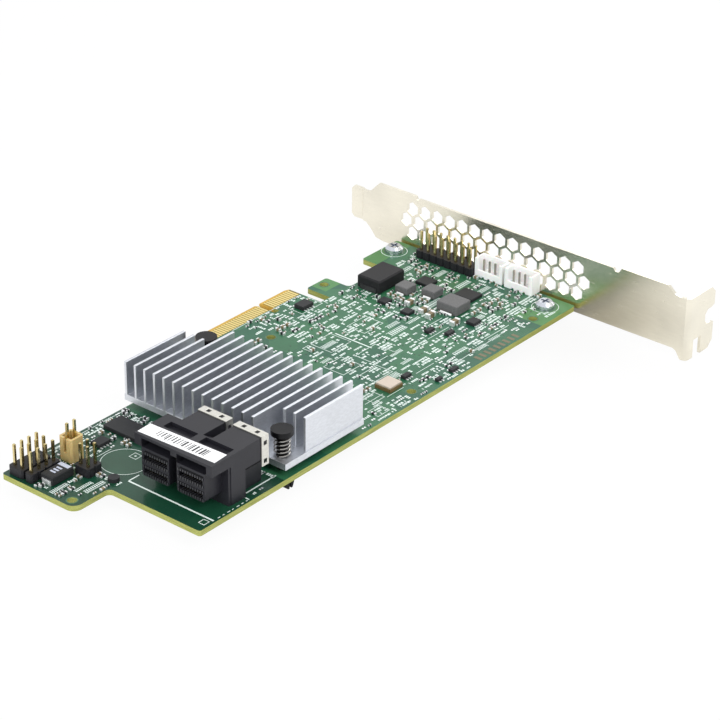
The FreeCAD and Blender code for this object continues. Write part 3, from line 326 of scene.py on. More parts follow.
def grain_group():
    """Colour and roughness that drift a little over the surface, with a fine height."""
    name = "surface grain"
    if name in bpy.data.node_groups:
        return bpy.data.node_groups[name]
    group = bpy.data.node_groups.new(name, "ShaderNodeTree")
    for label, kind, default in (
            ("Colour", "NodeSocketColor", (0.5, 0.5, 0.5, 1)), ("Scale", "NodeSocketFloat", 1500.0),
            ("Stretch", "NodeSocketVector", (1, 1, 1)), ("Variation", "NodeSocketFloat", 0.15),
            ("Drift", "NodeSocketFloat", 0.1), ("Roughness", "NodeSocketFloat", 0.5),
            ("Spread", "NodeSocketFloat", 0.1)):
        socket = group.interface.new_socket(label, in_out="INPUT", socket_type=kind)
        socket.default_value = default
    for label, kind in (("Colour", "NodeSocketColor"), ("Roughness", "NodeSocketFloat"),
                        ("Height", "NodeSocketFloat")):
        group.interface.new_socket(label, in_out="OUTPUT", socket_type=kind)
    given = group.nodes.new("NodeGroupInput").outputs
    place = add_node(group, "ShaderNodeTexCoord").outputs["Object"]
    stretch = add_node(group, "ShaderNodeVectorMath", {0: place, 1: given["Stretch"]}, operation="MULTIPLY")
    fine = add_node(group, "ShaderNodeTexNoise", {
        "Detail": 3.0, "Vector": stretch.outputs[0], "Scale": given["Scale"]}).outputs["Fac"]
    wide = add_node(group, "ShaderNodeTexNoise", {"Scale": 70.0, "Vector": place}).outputs["Fac"]

    def centred(source, amount):
        return maths(group, "MULTIPLY", maths(group, "SUBTRACT", source, 0.5), given[amount])

    change = maths(group, "ADD", centred(fine, "Variation"), centred(wide, "Drift"))
    colour = add_node(group, "ShaderNodeVectorMath", {
        0: given["Colour"], "Scale": maths(group, "ADD", change, 1.0)}, operation="SCALE")
    rough = maths(group, "ADD", given["Roughness"], centred(fine, "Spread"))
    made = group.nodes.new("NodeGroupOutput")
    feed(group, made, {"Colour": colour.outputs[0], "Roughness": rough, "Height": fine})
    return group


def new_material(name):
    """A new material, its node tree and its main shader."""
    material = bpy.data.materials.new(name)
    material.use_nodes = True
    return material, material.node_tree, material.node_tree.nodes["Principled BSDF"]


def finish(name, colour, roughness, metal=0.0, scale=1500.0, stretch=(1, 1, 1), variation=0.15, drift=0.1,
           spread=0.1, bump=0.1, depth=0.00002, coat=0.0, coat_roughness=0.1, specular=0.5, glow=0.0):
    """A material whose colour, roughness and relief come from the grain group."""
    if name in bpy.data.materials:
        return bpy.data.materials[name]
    material, tree, shader = new_material(name)
    grain = add_node(tree, "ShaderNodeGroup", {
        "Colour": colour, "Scale": scale, "Stretch": stretch, "Variation": variation,
        "Drift": drift, "Roughness": roughness, "Spread": spread}, node_tree=grain_group()).outputs
    relief = add_node(tree, "ShaderNodeBump", {
        "Strength": bump, "Distance": depth, "Height": grain["Height"]})
    feed(tree, shader, {
        "Metallic": metal, "Coat Weight": coat, "Coat Roughness": coat_roughness,
        "Specular IOR Level": specular, "Subsurface Weight": glow, "Subsurface Scale": 0.001,
        "Base Color": grain["Colour"], "Roughness": grain["Roughness"], "Normal": relief.outputs["Normal"]})
    return material


def wear(node, material, bevel=0.0, segments=2):
    """Give a carried-over node its finish, and ease its edges by a bevel in millimetres."""
    thing = NODES[node]
    thing.data.materials.clear()
    thing.data.materials.append(material)
    if bevel:
        weld = thing.modifiers.new("weld", "WELD")
        weld.merge_threshold = 1e-6
        ease = thing.modifiers.new("ease", "BEVEL")
        ease.width = bevel * MM
        ease.segments = segments
        ease.limit_method = "ANGLE"
        ease.angle_limit = math.radians(50)
        for face in thing.data.polygons:
            face.use_smooth = False


def looks():
    """The sizes and colours that the user can change."""
    return bpy.context.scene.card_looks


def board_finish():
    """Solder mask over copper on the faces, bare laminate on the edges and round the fingers."""
    name = "board laminate"
    if name in bpy.data.materials:
        return bpy.data.materials[name]
    props = looks()
    material, tree, shader = new_material(name)
    place = add_node(tree, "ShaderNodeTexCoord").outputs["Object"]
    spot = add_node(tree, "ShaderNodeSeparateXYZ", {0: place}).outputs
    facing = add_node(tree, "ShaderNodeNewGeometry").outputs["Normal"]
    way = add_node(tree, "ShaderNodeSeparateXYZ", {0: facing}).outputs

    def above(source, level):
        return maths(tree, "GREATER_THAN", source, level)

    def beyond(axis, line):
        return above(spot[axis], line * MM)

    def short_of(axis, line):
        return maths(tree, "LESS_THAN", spot[axis], line * MM)

    def both(first, second):
        return maths(tree, "MULTIPLY", first, second)

    def mixed(factor, first, second):
        inputs = {"Factor": factor, 6: first, 7: second}
        return add_node(tree, "ShaderNodeMix", inputs, data_type="RGBA").outputs[2]

    flat = above(maths(tree, "ABSOLUTE", way["Z"]), 0.8)
    beside = both(beyond("X", FINGERS_START), short_of("X", FINGERS_END))
    fingers = both(beside, short_of("Y", FINGERS_TOP))

    # Copper under the mask: runs of parallel tracks that change direction from field to field
    field = add_node(tree, "ShaderNodeTexVoronoi", {"Scale": 95.0, "Vector": place}, distance="MANHATTAN")
    choice = add_node(tree, "ShaderNodeSeparateColor", {0: field.outputs["Color"]}).outputs
    track_pitch = 0.62 * MM
    tracks = []
    for axis in ("X", "Y"):
        waves = maths(tree, "SINE", both(spot[axis], 2 * math.pi / track_pitch))
        tracks.append(above(waves, 0.15))
    picked = add_node(tree, "ShaderNodeMix", {
        "Factor": above(choice[0], 0.5), 2: tracks[0], 3: tracks[1]}).outputs[0]
    routed = both(picked, above(choice[1], 0.42))
    copper = maths(tree, "MAXIMUM", routed, above(choice[2], 0.62))

    # The mask's colour over tracks, darker over the drive end, and where the copper is left out
    over = mixed(copper, props.mask_bare, props.mask_copper)
    # A darker mask over the upper face of the drive end, laid by where it is on the board
    upper = both(beyond("X", DRIVE_END_START), above(way["Z"], 0.0))
    over = mixed(both(upper, 0.85), over, props.mask_drive_end)
    rim = both(short_of("X", RIM_END), short_of("Y", RIM_TOP))
    screw_end = both(short_of("X", SCREW_END), beyond("Y", SCREW_SIDE))
    over = mixed(maths(tree, "MAXIMUM", rim, screw_end), over, props.mask_open)
    grain = add_node(tree, "ShaderNodeGroup", {
        "Scale": 900.0, "Variation": 0.25, "Drift": 0.5, "Roughness": 0.35, "Colour": over},
        node_tree=grain_group()).outputs

    # The cut edge: layers of glass cloth in yellow resin
    squash = add_node(tree, "ShaderNodeVectorMath", {0: place, 1: (0.25, 0.25, 5.0)}, operation="MULTIPLY")
    layers = add_node(tree, "ShaderNodeTexNoise", {
        "Scale": 900.0, "Detail": 4.0, "Vector": squash.outputs[0]}).outputs["Fac"]
    plain_edge = mixed(layers, (0.16, 0.18, 0.034), (0.51, 0.53, 0.17))
    rich_edge = mixed(layers, (0.42, 0.24, 0.03), (0.80, 0.52, 0.10))
    between = mixed(layers, (0.17, 0.13, 0.035), (0.28, 0.22, 0.07))
    edge = mixed(fingers, plain_edge, rich_edge)
    bare = mixed(short_of("Y", BEVEL_END), between, rich_edge)
    face = mixed(fingers, grain["Colour"], bare)

    masked = both(flat, maths(tree, "SUBTRACT", 1.0, fingers))
    height = maths(tree, "ADD", both(copper, masked), both(grain["Height"], 0.3))
    relief = add_node(tree, "ShaderNodeBump", {"Strength": 0.25, "Distance": 0.03 * MM, "Height": height})
    feed(tree, shader, {
        "Base Color": mixed(flat, edge, face), "Coat Weight": both(masked, props.mask_gloss),
        "Coat Roughness": 0.12, "Roughness": maths(tree, "SUBTRACT", 0.62, both(masked, 0.25)),
        "Specular IOR Level": 0.2, "Normal": relief.outputs["Normal"]})
    return material


def pin_gold():
    return finish("pin plate", (0.66, 0.55, 0.28), 0.24, 1.0, 2500, variation=0.5, bump=0.08)


def tin():
    return finish("bright tin", (0.88, 0.89, 0.90), 0.38, 0.7, 2600, variation=0.3, bump=0.15)


def epoxy():
    return finish("moulded epoxy", (0.020, 0.021, 0.023), 0.5, 0.0, 4200, variation=0.6, bump=0.25,
                  depth=0.00003, specular=0.22)


def capacitor_ceramic():
    return finish("capacitor ceramic", (0.20, 0.155, 0.085), 0.5, 0.0, 900, variation=0.7, drift=0.9)


# Sizes and colours

def colour_property(name, description, default):
    """A colour for the panel."""
    return bpy.props.FloatVectorProperty(
        name=name, description=description, subtype="COLOR", default=default, min=0, max=1)


class CardLooks(bpy.types.PropertyGroup):
    """Sizes and colours of the dressing."""

    mask_bare: colour_property(
        "Mask over laminate", "Solder mask where no copper lies under it", (0.033, 0.148, 0.068))
    mask_copper: colour_property(
        "Mask over copper", "Solder mask over a track or a poured area", (0.018, 0.108, 0.058))
    # A darker mask over the drive end, laid by where it is on the board
    mask_drive_end: colour_property(
        "Mask at the drive end", "Darker solder mask over the upper face of the drive end", (0.004, 0.040, 0.022))
    mask_open: colour_property(
        "Mask at the rim", "Solder mask by the tabs, with no copper on any layer", (0.072, 0.225, 0.068))
    mask_gloss: bpy.props.FloatProperty(
        name="Mask gloss", description="Strength of the clear shine over the solder mask",
        subtype="FACTOR", default=0.30, min=0, max=1)
    print_colour: colour_property("Board print", "Ink of the marks on the board", (0.80, 0.90, 0.86))
    bracket_colour: colour_property("Bracket plate", "Nickel plate of the bracket", (0.80, 0.76, 0.65))
    sink_colour: colour_property("Heatsink", "Bare aluminium of the heatsink", (0.66, 0.68, 0.72))
    housing_colour: colour_property("Receptacle", "Plastic of the drive receptacle", (0.016, 0.016, 0.021))
    print_height: bpy.props.FloatProperty(
        name="Print height", description="How far the ink stands above the board",
        default=0.03 * MM, unit="LENGTH", min=0.005 * MM, max=0.2 * MM)
    line_width: bpy.props.FloatProperty(
        name="Print line", description="Width of a thin printed line",
        default=0.16 * MM, unit="LENGTH", min=0.05 * MM, max=1.0 * MM)
    part_seed: bpy.props.IntProperty(
        name="Layout seed", description="Start of the small parts' layout", default=7, min=0)
    crowding: bpy.props.FloatProperty(
        name="Crowding", description="Share of the free board that small parts and marks take",
        subtype="FACTOR", default=1.0, min=0, max=1)


# Board

class CARD_OT_board(bpy.types.Operator):
    """Finish the board, its edge contacts, rings and bare pads"""

    bl_idname = "card.board"
    bl_label = "Board"

    def execute(self, context):
        wear("pcb", board_finish())
        gold = finish("gold plate", (0.83, 0.67, 0.27), 0.30, 1.0, 3000, variation=0.2, bump=0.05)
        for node in CONTACTS:
            wear(node, gold)

        # Plated rings round the tool holes and the screws
        rings = Solids()
        for x, y in TOOL_HOLES:
            rings.ring(x, y, 1.31, 1.62, 0.0, PLATE_TOP, 28)
        for low, high in islands("bracket_screws"):
            rings.ring((low.x + high.x) / 2, (low.y + high.y) / 2, 2.66, 3.15, 0.0, PLATE_TOP, 36)
        rings.piece("hole_rings", finish("ring plate", (0.032, 0.125, 0.052), 0.4, 0.0, 2500, coat=0.3),
                    "contact_gold")

        # A row of bare pads along the long edge
        pads = Solids()
        edge = span("pcb")[1].y
        count, first, pitch = 9, -14.8, 2.12
        for i in range(count):
            x = first - pitch * i
            pads.box(x - 0.75, edge - 3.3, 0.0, x + 0.35, edge - 0.9, PLATE_TOP)
        pads.piece("bare_pads", finish("bare pad", (0.150, 0.130, 0.072), 0.45, 0.2, 2500, variation=0.5),
                   "contact_gold")
        return {"FINISHED"}


# Printed bars: two ends, and a width where the bar isn't thin
BARS = (((92.4, 39.5), (92.4, 68.2), 0.5), ((92.2, 39.6), (88.6, 39.6), 0.4),
        ((77.8, 65.6), (66.6, 65.6), 0.4), ((79.5, 67), (79.5, 68.2), 0.35),
        ((97, 14.1), (67, 14.1)), ((16.5, 5.7), (-11.8, 5.7)),
        ((-9.3, 63.9), (-33, 63)), ((-33, 63), (-33, 61.4)))

# Printed rings round the plain disc and the screws: middle, radius and number of sides. Targets: middle
RINGS = ((*PLAIN_DISC, 64), (-51.4, 62.8, 3.75, 48), (-51.4, 8.2, 3.75, 48))
TARGETS = ((82.6, 32.5), (10.6, 28.3))

# Outlines of parts, printed where the board is bare
OUTLINES = ((41.6, 67, 49, 68.1), (22.6, 62.8, 27.2, 66.4), (18, 57.5, 22.4, 61),
            (9.6, 55.2, 16.6, 61.8), (-12.2, 8.6, -3.6, 13.8), (-39, 13.8, -25.8, 23.6),
            (-3, 40.6, 5.6, 47.4), (8.6, 38.2, 16, 45.2), (6, 48.6, 13.2, 54),
            (-14, 28, -6, 34.4), (0.2, 27.2, 8.4, 34.6))

# The plain disc and the bare pads stay free of parts and print
KEPT_FREE = ((80, 26, 92.8, 38.9), (-34, 65, -13, 68.4))

# Groups of print: middle x and y, how far they spread, how many, and their kind
GROUPS = (
    (-22, 36, 20, 22, 26, "text"), (8, 46, 20, 14, 26, "text"),
    (-5, 21, 14, 7, 12, "text"), (-40, 52, 13, 8, 8, "text"),
    (-10, 47, 28, 14, 22, "comb"), (4, 36, 20, 9, 12, "comb"),
    (-14, 22, 14, 7, 8, "comb"), (82, 22, 13, 8, 9, "text"),
    (104, 30, 5, 6, 6, "comb"), (-8, 45, 30, 18, 34, "line"),
    (0, 62, 30, 3.5, 8, "text"), (84, 24, 12, 8, 8, "line"),
    (-36, 30, 14, 14, 10, "comb"), (-20, 61, 12, 3, 6, "comb"),
    (11, 63.5, 17, 4.5, 26, "text"), (4, 60, 15, 6, 12, "comb"),
)

# Fields of small things: x0, y0, x1, y1, then the shares of chips, printed bars, pads and vias
FIELDS = (
    (-56, 13.8, -24, 61.5, 0.5, 0.22, 0.1, 0.08),
    (-24, 27.5, -12, 61.5, 0.3, 0.3, 0.12, 0.12),
    (-24, 13.8, 8.5, 27.5, 0.4, 0.3, 0.1, 0.08),
    (-12, 5.9, 12, 13.4, 0.3, 0.26, 0.12, 0.1),
    (-12, 27.5, PRINT_END, 62, 0.12, 0.3, 0.14, 0.18),
    (PRINT_END, 27.5, 33.5, PRINT_SIDE, 0.004, 0.01, 0.01, 0.14),
    (PRINT_END, PRINT_SIDE, 33.5, 62, 0.08, 0.3, 0.12, 0.1),
    (8.5, 13.6, 34.5, 27.5, 0.01, 0.02, 0.02, 0.08),
    (-54, 61.5, 33.5, 66.4, 0.1, 0.36, 0.14, 0.1),
    (-10, 66.4, 33.5, 68.4, 0.2, 0.36, 0.14, 0.06),
    (33.5, 66, 66, 68.4, 0.06, 0.3, 0.2, 0.08),
    (66.8, 13.8, 98.4, 31.8, 0.4, 0.34, 0.12, 0.1),
    (66.8, 31.8, 80, 41, 0.3, 0.3, 0.12, 0.1),
    (91, 31.8, 98.4, 39, 0.35, 0.4, 0.1, 0.08),
    (98.4, 13.4, 110, 38, 0.4, 0.36, 0.1, 0.06),
    (66.8, 61, 80, 68, 0.05, 0.28, 0.2, 0.1),
)

# Length, width and height of the chips, and the share of them that is dark
CHIP_SIZES = ((1.0, 0.5, 0.35), (1.0, 0.5, 0.5), (1.6, 0.8, 0.5), (1.6, 0.8, 0.8))
DARK_SHARE = 0.6


class Tray:
    """The free board, the random draws, and the meshes that print and small parts are gathered in."""

    def __init__(self, props):
        self.rng = random.Random(props.part_seed)
        self.board = BareBoard()
        self.ink_top = props.print_height / MM
        self.line = props.line_width / MM
        self.crowding = max(props.crowding, 0.01)
        self.ceramic, self.dark, self.ends = Solids(), Solids(), Solids()
        self.marks, self.pads, self.vias = Solids(), Solids(), Solids()

    def chip(self, x0, y0, x1, y1, z, dark):
        """A two-ended part with its solder caps, lying along its longer side."""
        body = self.dark if dark else self.ceramic
        cap = 0.24 * max(x1 - x0, y1 - y0)
        proud = 0.02
        if x1 - x0 >= y1 - y0:
            body.box(x0 + cap, y0 + proud, 0.0, x1 - cap, y1 - proud, z, 0.04)
            caps = ((x0, y0, x0 + cap, y1), (x1 - cap, y0, x1, y1))
        else:
            body.box(x0 + proud, y0 + cap, 0.0, x1 - proud, y1 - cap, z, 0.04)
            caps = ((x0, y0, x1, y0 + cap), (x0, y1 - cap, x1, y1))
        for left, front, right, back in caps:
            self.ends.box(left, front, 0.0, right, back, z + proud, 0.06)

    def mark(self, x0, y0, x1, y1):
        """A printed block."""
        self.marks.box(x0, y0, 0.0, x1, y1, self.ink_top)

    def rule(self, a, b, width=None):
        """A printed line from a to b, thin unless a width is given."""
        self.marks.bar(a, b, width or self.line, 0.0, self.ink_top)

    def outline(self, x0, y0, x1, y1):
        """A printed rectangle, drawn with a thin line."""
        half = self.line / 2
        for y in (y0, y1):
            self.rule((x0 - half, y), (x1 + half, y))
        for x in (x0, x1):
            self.rule((x, y0 + half), (x, y1 - half))

    def larger_print(self):
        """The receptacle's frame, bars, rings, targets and part outlines."""
        for bar in BARS:
            self.rule(*bar)
        for x, y, radius, sides in RINGS:
            self.marks.ring(x, y, radius, radius + self.line, 0.0, self.ink_top, sides)
        half, dot = 1.15, 0.3
        for x, y in TARGETS:
            self.outline(x - half, y - half, x + half, y + half)
            self.marks.disc(x, y, dot, 0.0, self.ink_top)
        # Short strokes beside the receptacle, along the board's edge
        start, stop, step, edge = 90.8, 80.4, 1.7, 68.15
        while start > stop:
            self.rule((start, edge), (start - self.rng.uniform(0.5, 1.3), edge), 0.22)
            start -= step
        self.outline(93.4, 65.9, 95.3, 67.7)
        for x0, y0, x1, y1 in OUTLINES:
            if self.board.bare(x0 + 1, y0 + 1, x0 + 1.4, y0 + 1.4):
                self.outline(x0, y0, x1, y1)

    def text_block(self, x, y, long, deep):
        """Rows of plain strokes along X, as tall and as close as a line of small print."""
        pitch, gap, share, least = 1.0, 0.19, 0.82, 0.6
        row = y
        while row < y + deep - least:
            at = x
            while at < x + long:
                stroke = self.rng.choice((0.28, 0.36, 0.5, 0.75))
                if self.rng.random() < share:
                    tall = self.rng.choice((0.55, 0.72, 0.72))
                    self.mark(at, row, min(at + stroke, x + long), row + tall)
                at += stroke + gap
            row += pitch

    def comb_block(self, x, y, long, deep):
        """A row of upright strokes between two rules, as round a fine-pitch part."""
        pitch = self.rng.choice((0.55, 0.65, 0.8))
        margin = 0.3
        at = x + margin
        while at < x + long - margin:
            self.mark(at, y + margin, at + pitch * 0.48, y + deep - margin)
            at += pitch
        self.rule((x, y), (x + long, y))
        if self.rng.random() < 0.5:
            self.rule((x, y + deep), (x + long, y + deep))
        if self.rng.random() < 0.5:
            self.rule((x, y), (x, y + deep))

    def line_block(self, x, y, long, deep):
        """One plain line."""
        self.mark(x, y + 0.1, x + long, y + deep - 0.15)

    def lay_groups(self):
        """Scatter each group of print round its middle, where the board is bare."""
        rng = self.rng
        for x, y, spread_x, spread_y, count, kind in GROUPS:
            for _ in range(count):
                turned = rng.random() < 0.25
                if kind == "text":
                    dx, dy, draw = rng.uniform(2.4, 6.5), rng.choice((0.8, 1.8, 2.8)), self.text_block
                elif kind == "comb":
                    dx, dy, draw = rng.uniform(3.0, 8.0), rng.choice((1.3, 1.6, 2.0)), self.comb_block
                else:
                    dx, dy, draw = rng.uniform(5.0, 16.0), 0.4, self.line_block
                    if turned:
                        dx, dy = dy, dx
                for _ in range(8):
                    x0 = x + rng.uniform(-spread_x, spread_x) - dx / 2
                    y0 = y + rng.uniform(-spread_y, spread_y) - dy / 2
                    by_sink = y0 < PRINT_SIDE and PRINT_END < x0 + dx < SINK_END
                    if not by_sink and self.board.claim(x0, y0, x0 + dx, y0 + dy, 0.2):
                        draw(x0, y0, dx, dy)
                        break

    def lay_bars(self, x, y, turned):
        """A short run of plain bars, the size of a printed reference."""
        rng = self.rng
        tall, wide, gap = rng.choice((0.7, 0.8, 0.95)), rng.choice((0.34, 0.42, 0.5)), 0.2
        count = rng.randint(2, 4)
        run = count * (wide + gap)
        dx, dy = (tall, run) if turned else (run, tall)
        if self.board.claim(x, y, x + dx, y + dy):
            for i in range(count):
                at = i * (wide + gap)
                cut = rng.choice((0.0, 0.0, 0.25))
                if turned:
                    self.mark(x + cut, y + at, x + tall, y + at + wide)
                else:
                    self.mark(x + at, y + cut, x + at + wide, y + tall)

    def fill(self, field):
        """Cross a field in uneven steps, and lay a chip, bars, a pair of pads or a via at some of them."""
        x0, y0, x1, y1, parts, bars, pads, vias = field
        rng, claim = self.rng, self.board.claim
        y = y0
        while y < y1:
            x = x0 + rng.uniform(0, 0.6)
            while x < x1:
                pick = rng.random() / self.crowding
                turned = rng.random() < 0.35
                if pick < parts:
                    length, width, height = rng.choice(CHIP_SIZES)
                    dx, dy = (width, length) if turned else (length, width)
                    if claim(x, y, x + dx, y + dy, 0.1):
                        self.chip(x, y, x + dx, y + dy, height, rng.random() < DARK_SHARE)
                elif pick < parts + bars:
                    self.lay_bars(x, y, turned)
                elif pick < parts + bars + pads:
                    if claim(x, y, x + 1.3, y + 0.6):
                        for left in (x, x + 0.8):
                            self.pads.box(left, y, 0.0, left + 0.5, y + 0.55, 0.04)
                elif pick < parts + bars + pads + vias:
                    if claim(x, y, x + 0.4, y + 0.4):
                        self.vias.disc(x + 0.2, y + 0.2, VIA_RADIUS, 0.0, 0.03, 8)
                x += rng.uniform(1.15, 1.75)
            y += rng.uniform(1.0, 1.25)


class CARD_OT_small_parts(bpy.types.Operator):
    """Lay the printed marks, pads, vias and chip parts on the free board"""

    bl_idname = "card.small_parts"
    bl_label = "Print and small parts"

    def execute(self, context):
        tray = Tray(looks())
        tray.larger_print()
        for area in KEPT_FREE:
            tray.board.take(*area)
        for x, y in TOOL_HOLES:
            tray.board.take(x - 2.2, y - 2.2, x + 2.2, y + 2.2)
        tray.lay_groups()
        for field in FIELDS:
            tray.fill(field)
        for node, dark in (("chip_capacitors", False), ("chip_resistors", True), ("bulk_capacitors", False)):
            for a, b in islands(node):
                tray.chip(a.x, a.y, b.x, b.y, b.z, dark)
        ink = finish("board print", looks().print_colour, 0.55, 0.0, 4000, variation=0.2)
        tray.marks.piece("board_print", ink, "label_film")
        tray.pads.piece("solder_pads", tin(), "terminal_tin")
        tray.vias.piece("vias", finish("filled via", (0.008, 0.030, 0.018), 0.4, 0.0, 2600, variation=0.4),
                        "board_laminate")
        ceramic = tray.ceramic.piece("chip_ceramics", capacitor_ceramic(), "ceramic_tan")
        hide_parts("chip_capacitors", "bulk_capacitors")
        glaze = finish("resistor glaze", (0.018, 0.019, 0.023), 0.3, 0.0, 1200, variation=0.5)
        dark = tray.dark.piece("chip_glazes", glaze, "resistor_dark")
        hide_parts("chip_resistors")
        tray.ends.piece("chip_ends", tin(), "terminal_tin")

        patch = Solids()
        patch.disc(*PLAIN_DISC, 0.0, 0.012, 64)
        patch.piece("plain_mask_disc", finish(
            "plain mask", (0.024, 0.080, 0.046), 0.4, 0.0, 700, variation=0.2, drift=0.3, coat=0.3,
            coat_roughness=0.12, specular=0.2), "board_laminate")
        return {"FINISHED"}


class CARD_OT_solder_side(bpy.types.Operator):
    """Dress the solder side: joints under the pins, the row of capacitors and vias"""

    bl_idname = "card.solder_side"
    bl_label = "Solder side"

    def execute(self, context):
        joints = Solids()
        floor = span("pcb")[0].z
        for node in NODES:
            if node.endswith("_pins") and node != "push_pins":
                for a, b in islands(node):
                    x, y = (a.x + b.x) / 2, (a.y + b.y) / 2
                    joints.loft([(circle(x, y, 0.48, 12), floor - 0.8), (circle(x, y, 0.85, 12), floor)])
        joints.piece("solder_joints", tin(), "terminal_tin", True)
        bodies, ends = Solids(), Solids()
        cap, proud = 0.4, 0.02
        for a, b in islands("solder_side_capacitors"):
            bodies.box(a.x + cap, a.y + proud, a.z + proud, b.x - cap, b.y - proud, b.z)
            for x in (a.x, b.x - cap):
                ends.box(x, a.y, a.z, x + cap, b.y, b.z)
        bodies_piece = bodies.piece("solder_side_ceramics", capacitor_ceramic(), "ceramic_tan")
        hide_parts("solder_side_capacitors")
        ends.piece("solder_side_ends", tin(), "terminal_tin")
        self.lower_vias(floor)
        return {"FINISHED"}

    def lower_vias(self, floor):
        """Vias that come out on the solder side: a grid under the processor and loose rows elsewhere."""
        rng = random.Random(looks().part_seed + 1)
        board, others = surfaces(["pcb"]), surfaces([n for n in NODES if n != "pcb"])
        up = Vector((0, 0, 1))
        low, high = span("raid_processor")
        spots = [(low.x + 2.0 + 1.0 * i, low.y + 2.0 + 1.0 * j)
                 for i in range(int(high.x - low.x - 3.0)) for j in range(int(high.y - low.y - 3.0))
                 if rng.random() < 0.8]
        low, high = span("pcb")
        for _ in range(170):
            x, y = rng.uniform(low.x + 2, high.x - 2), rng.uniform(12.0, high.y - 2)
            way = rng.choice(((1.1, 0.0), (0.0, 1.1), (0.8, 0.8)))
            spots += [(x + way[0] * i, y + way[1] * i) for i in range(rng.randint(1, 5))]
        vias = Solids()
        for x, y in spots:
            below = Vector((x * MM, y * MM, -0.05))
            near, wall = others.ray_cast(below, up)[0], board.ray_cast(below, up)[0]
            if wall and abs(wall.z / MM - floor) < 0.01 and not (near and near.z < wall.z + 0.0001):
                vias.disc(x, y, VIA_RADIUS, floor - 0.03, floor, 8)
        vias.piece("lower_vias", tin(), "terminal_tin")


# Metal parts

class CARD_OT_bracket(bpy.types.Operator):
    """Finish the bracket and its screws"""

    bl_idname = "card.bracket"
    bl_label = "Bracket"

    def execute(self, context):
        nickel = finish("bracket nickel", looks().bracket_colour, 0.24, 1.0, 1200, stretch=(0.25, 0.25, 2.0),
                        variation=0.12, drift=0.28, spread=0.16, bump=0.08)
        wear("io_bracket", nickel, 0.08, 1)
        screw_plate = finish("screw plate", (0.62, 0.65, 0.71), 0.22, 1.0, 2200, bump=0.2)
        wear("bracket_screws", screw_plate, 0.06)
        return {"FINISHED"}


class CARD_OT_cooling(bpy.types.Operator):
    """Finish the heatsink, push pins and the processor, and wind the springs"""

    bl_idname = "card.cooling"
    bl_label = "Cooling"

    def execute(self, context):
        aluminium = finish("extruded aluminium", looks().sink_colour, 0.42, 1.0, 2600, stretch=(0.35, 1, 1),
                           variation=0.35, drift=0.12, spread=0.18, bump=0.35, depth=0.00003)
        wear("heatsink", aluminium, 0.06, 1)
        nylon = finish("black nylon", (0.005, 0.005, 0.006), 0.34, variation=0.4, specular=0.2)
        wear("push_pins", nylon, 0.35, 3)
        wear("raid_processor", finish("processor laminate", (0.02, 0.10, 0.05), 0.4, 0.0, 1200))
        wear("thermal_pad", finish("thermal pad", (0.30, 0.31, 0.32), 0.7, 0.0, 900))
        coils = Solids()
        turns, sides, wire = 5, 24, 0.25
        for low, high in islands("push_pin_springs"):
            x, y = (low.x + high.x) / 2, (low.y + high.y) / 2
            reach = (high.x - low.x) / 2 - wire
            steps = turns * sides
            foot, rise = low.z + wire, high.z - low.z - 2 * wire
            round_trip = circle(x, y, reach, sides)
            coils.wire([(*round_trip[i % sides], foot + rise * i / steps) for i in range(steps + 1)], wire)
        spring = coils.piece("wound_springs", finish("spring wire", (0.34, 0.33, 0.31), 0.2, 1.0, 3000),
                             "spring_steel", True)
        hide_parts("push_pin_springs")
        return {"FINISHED"}


# Connectors

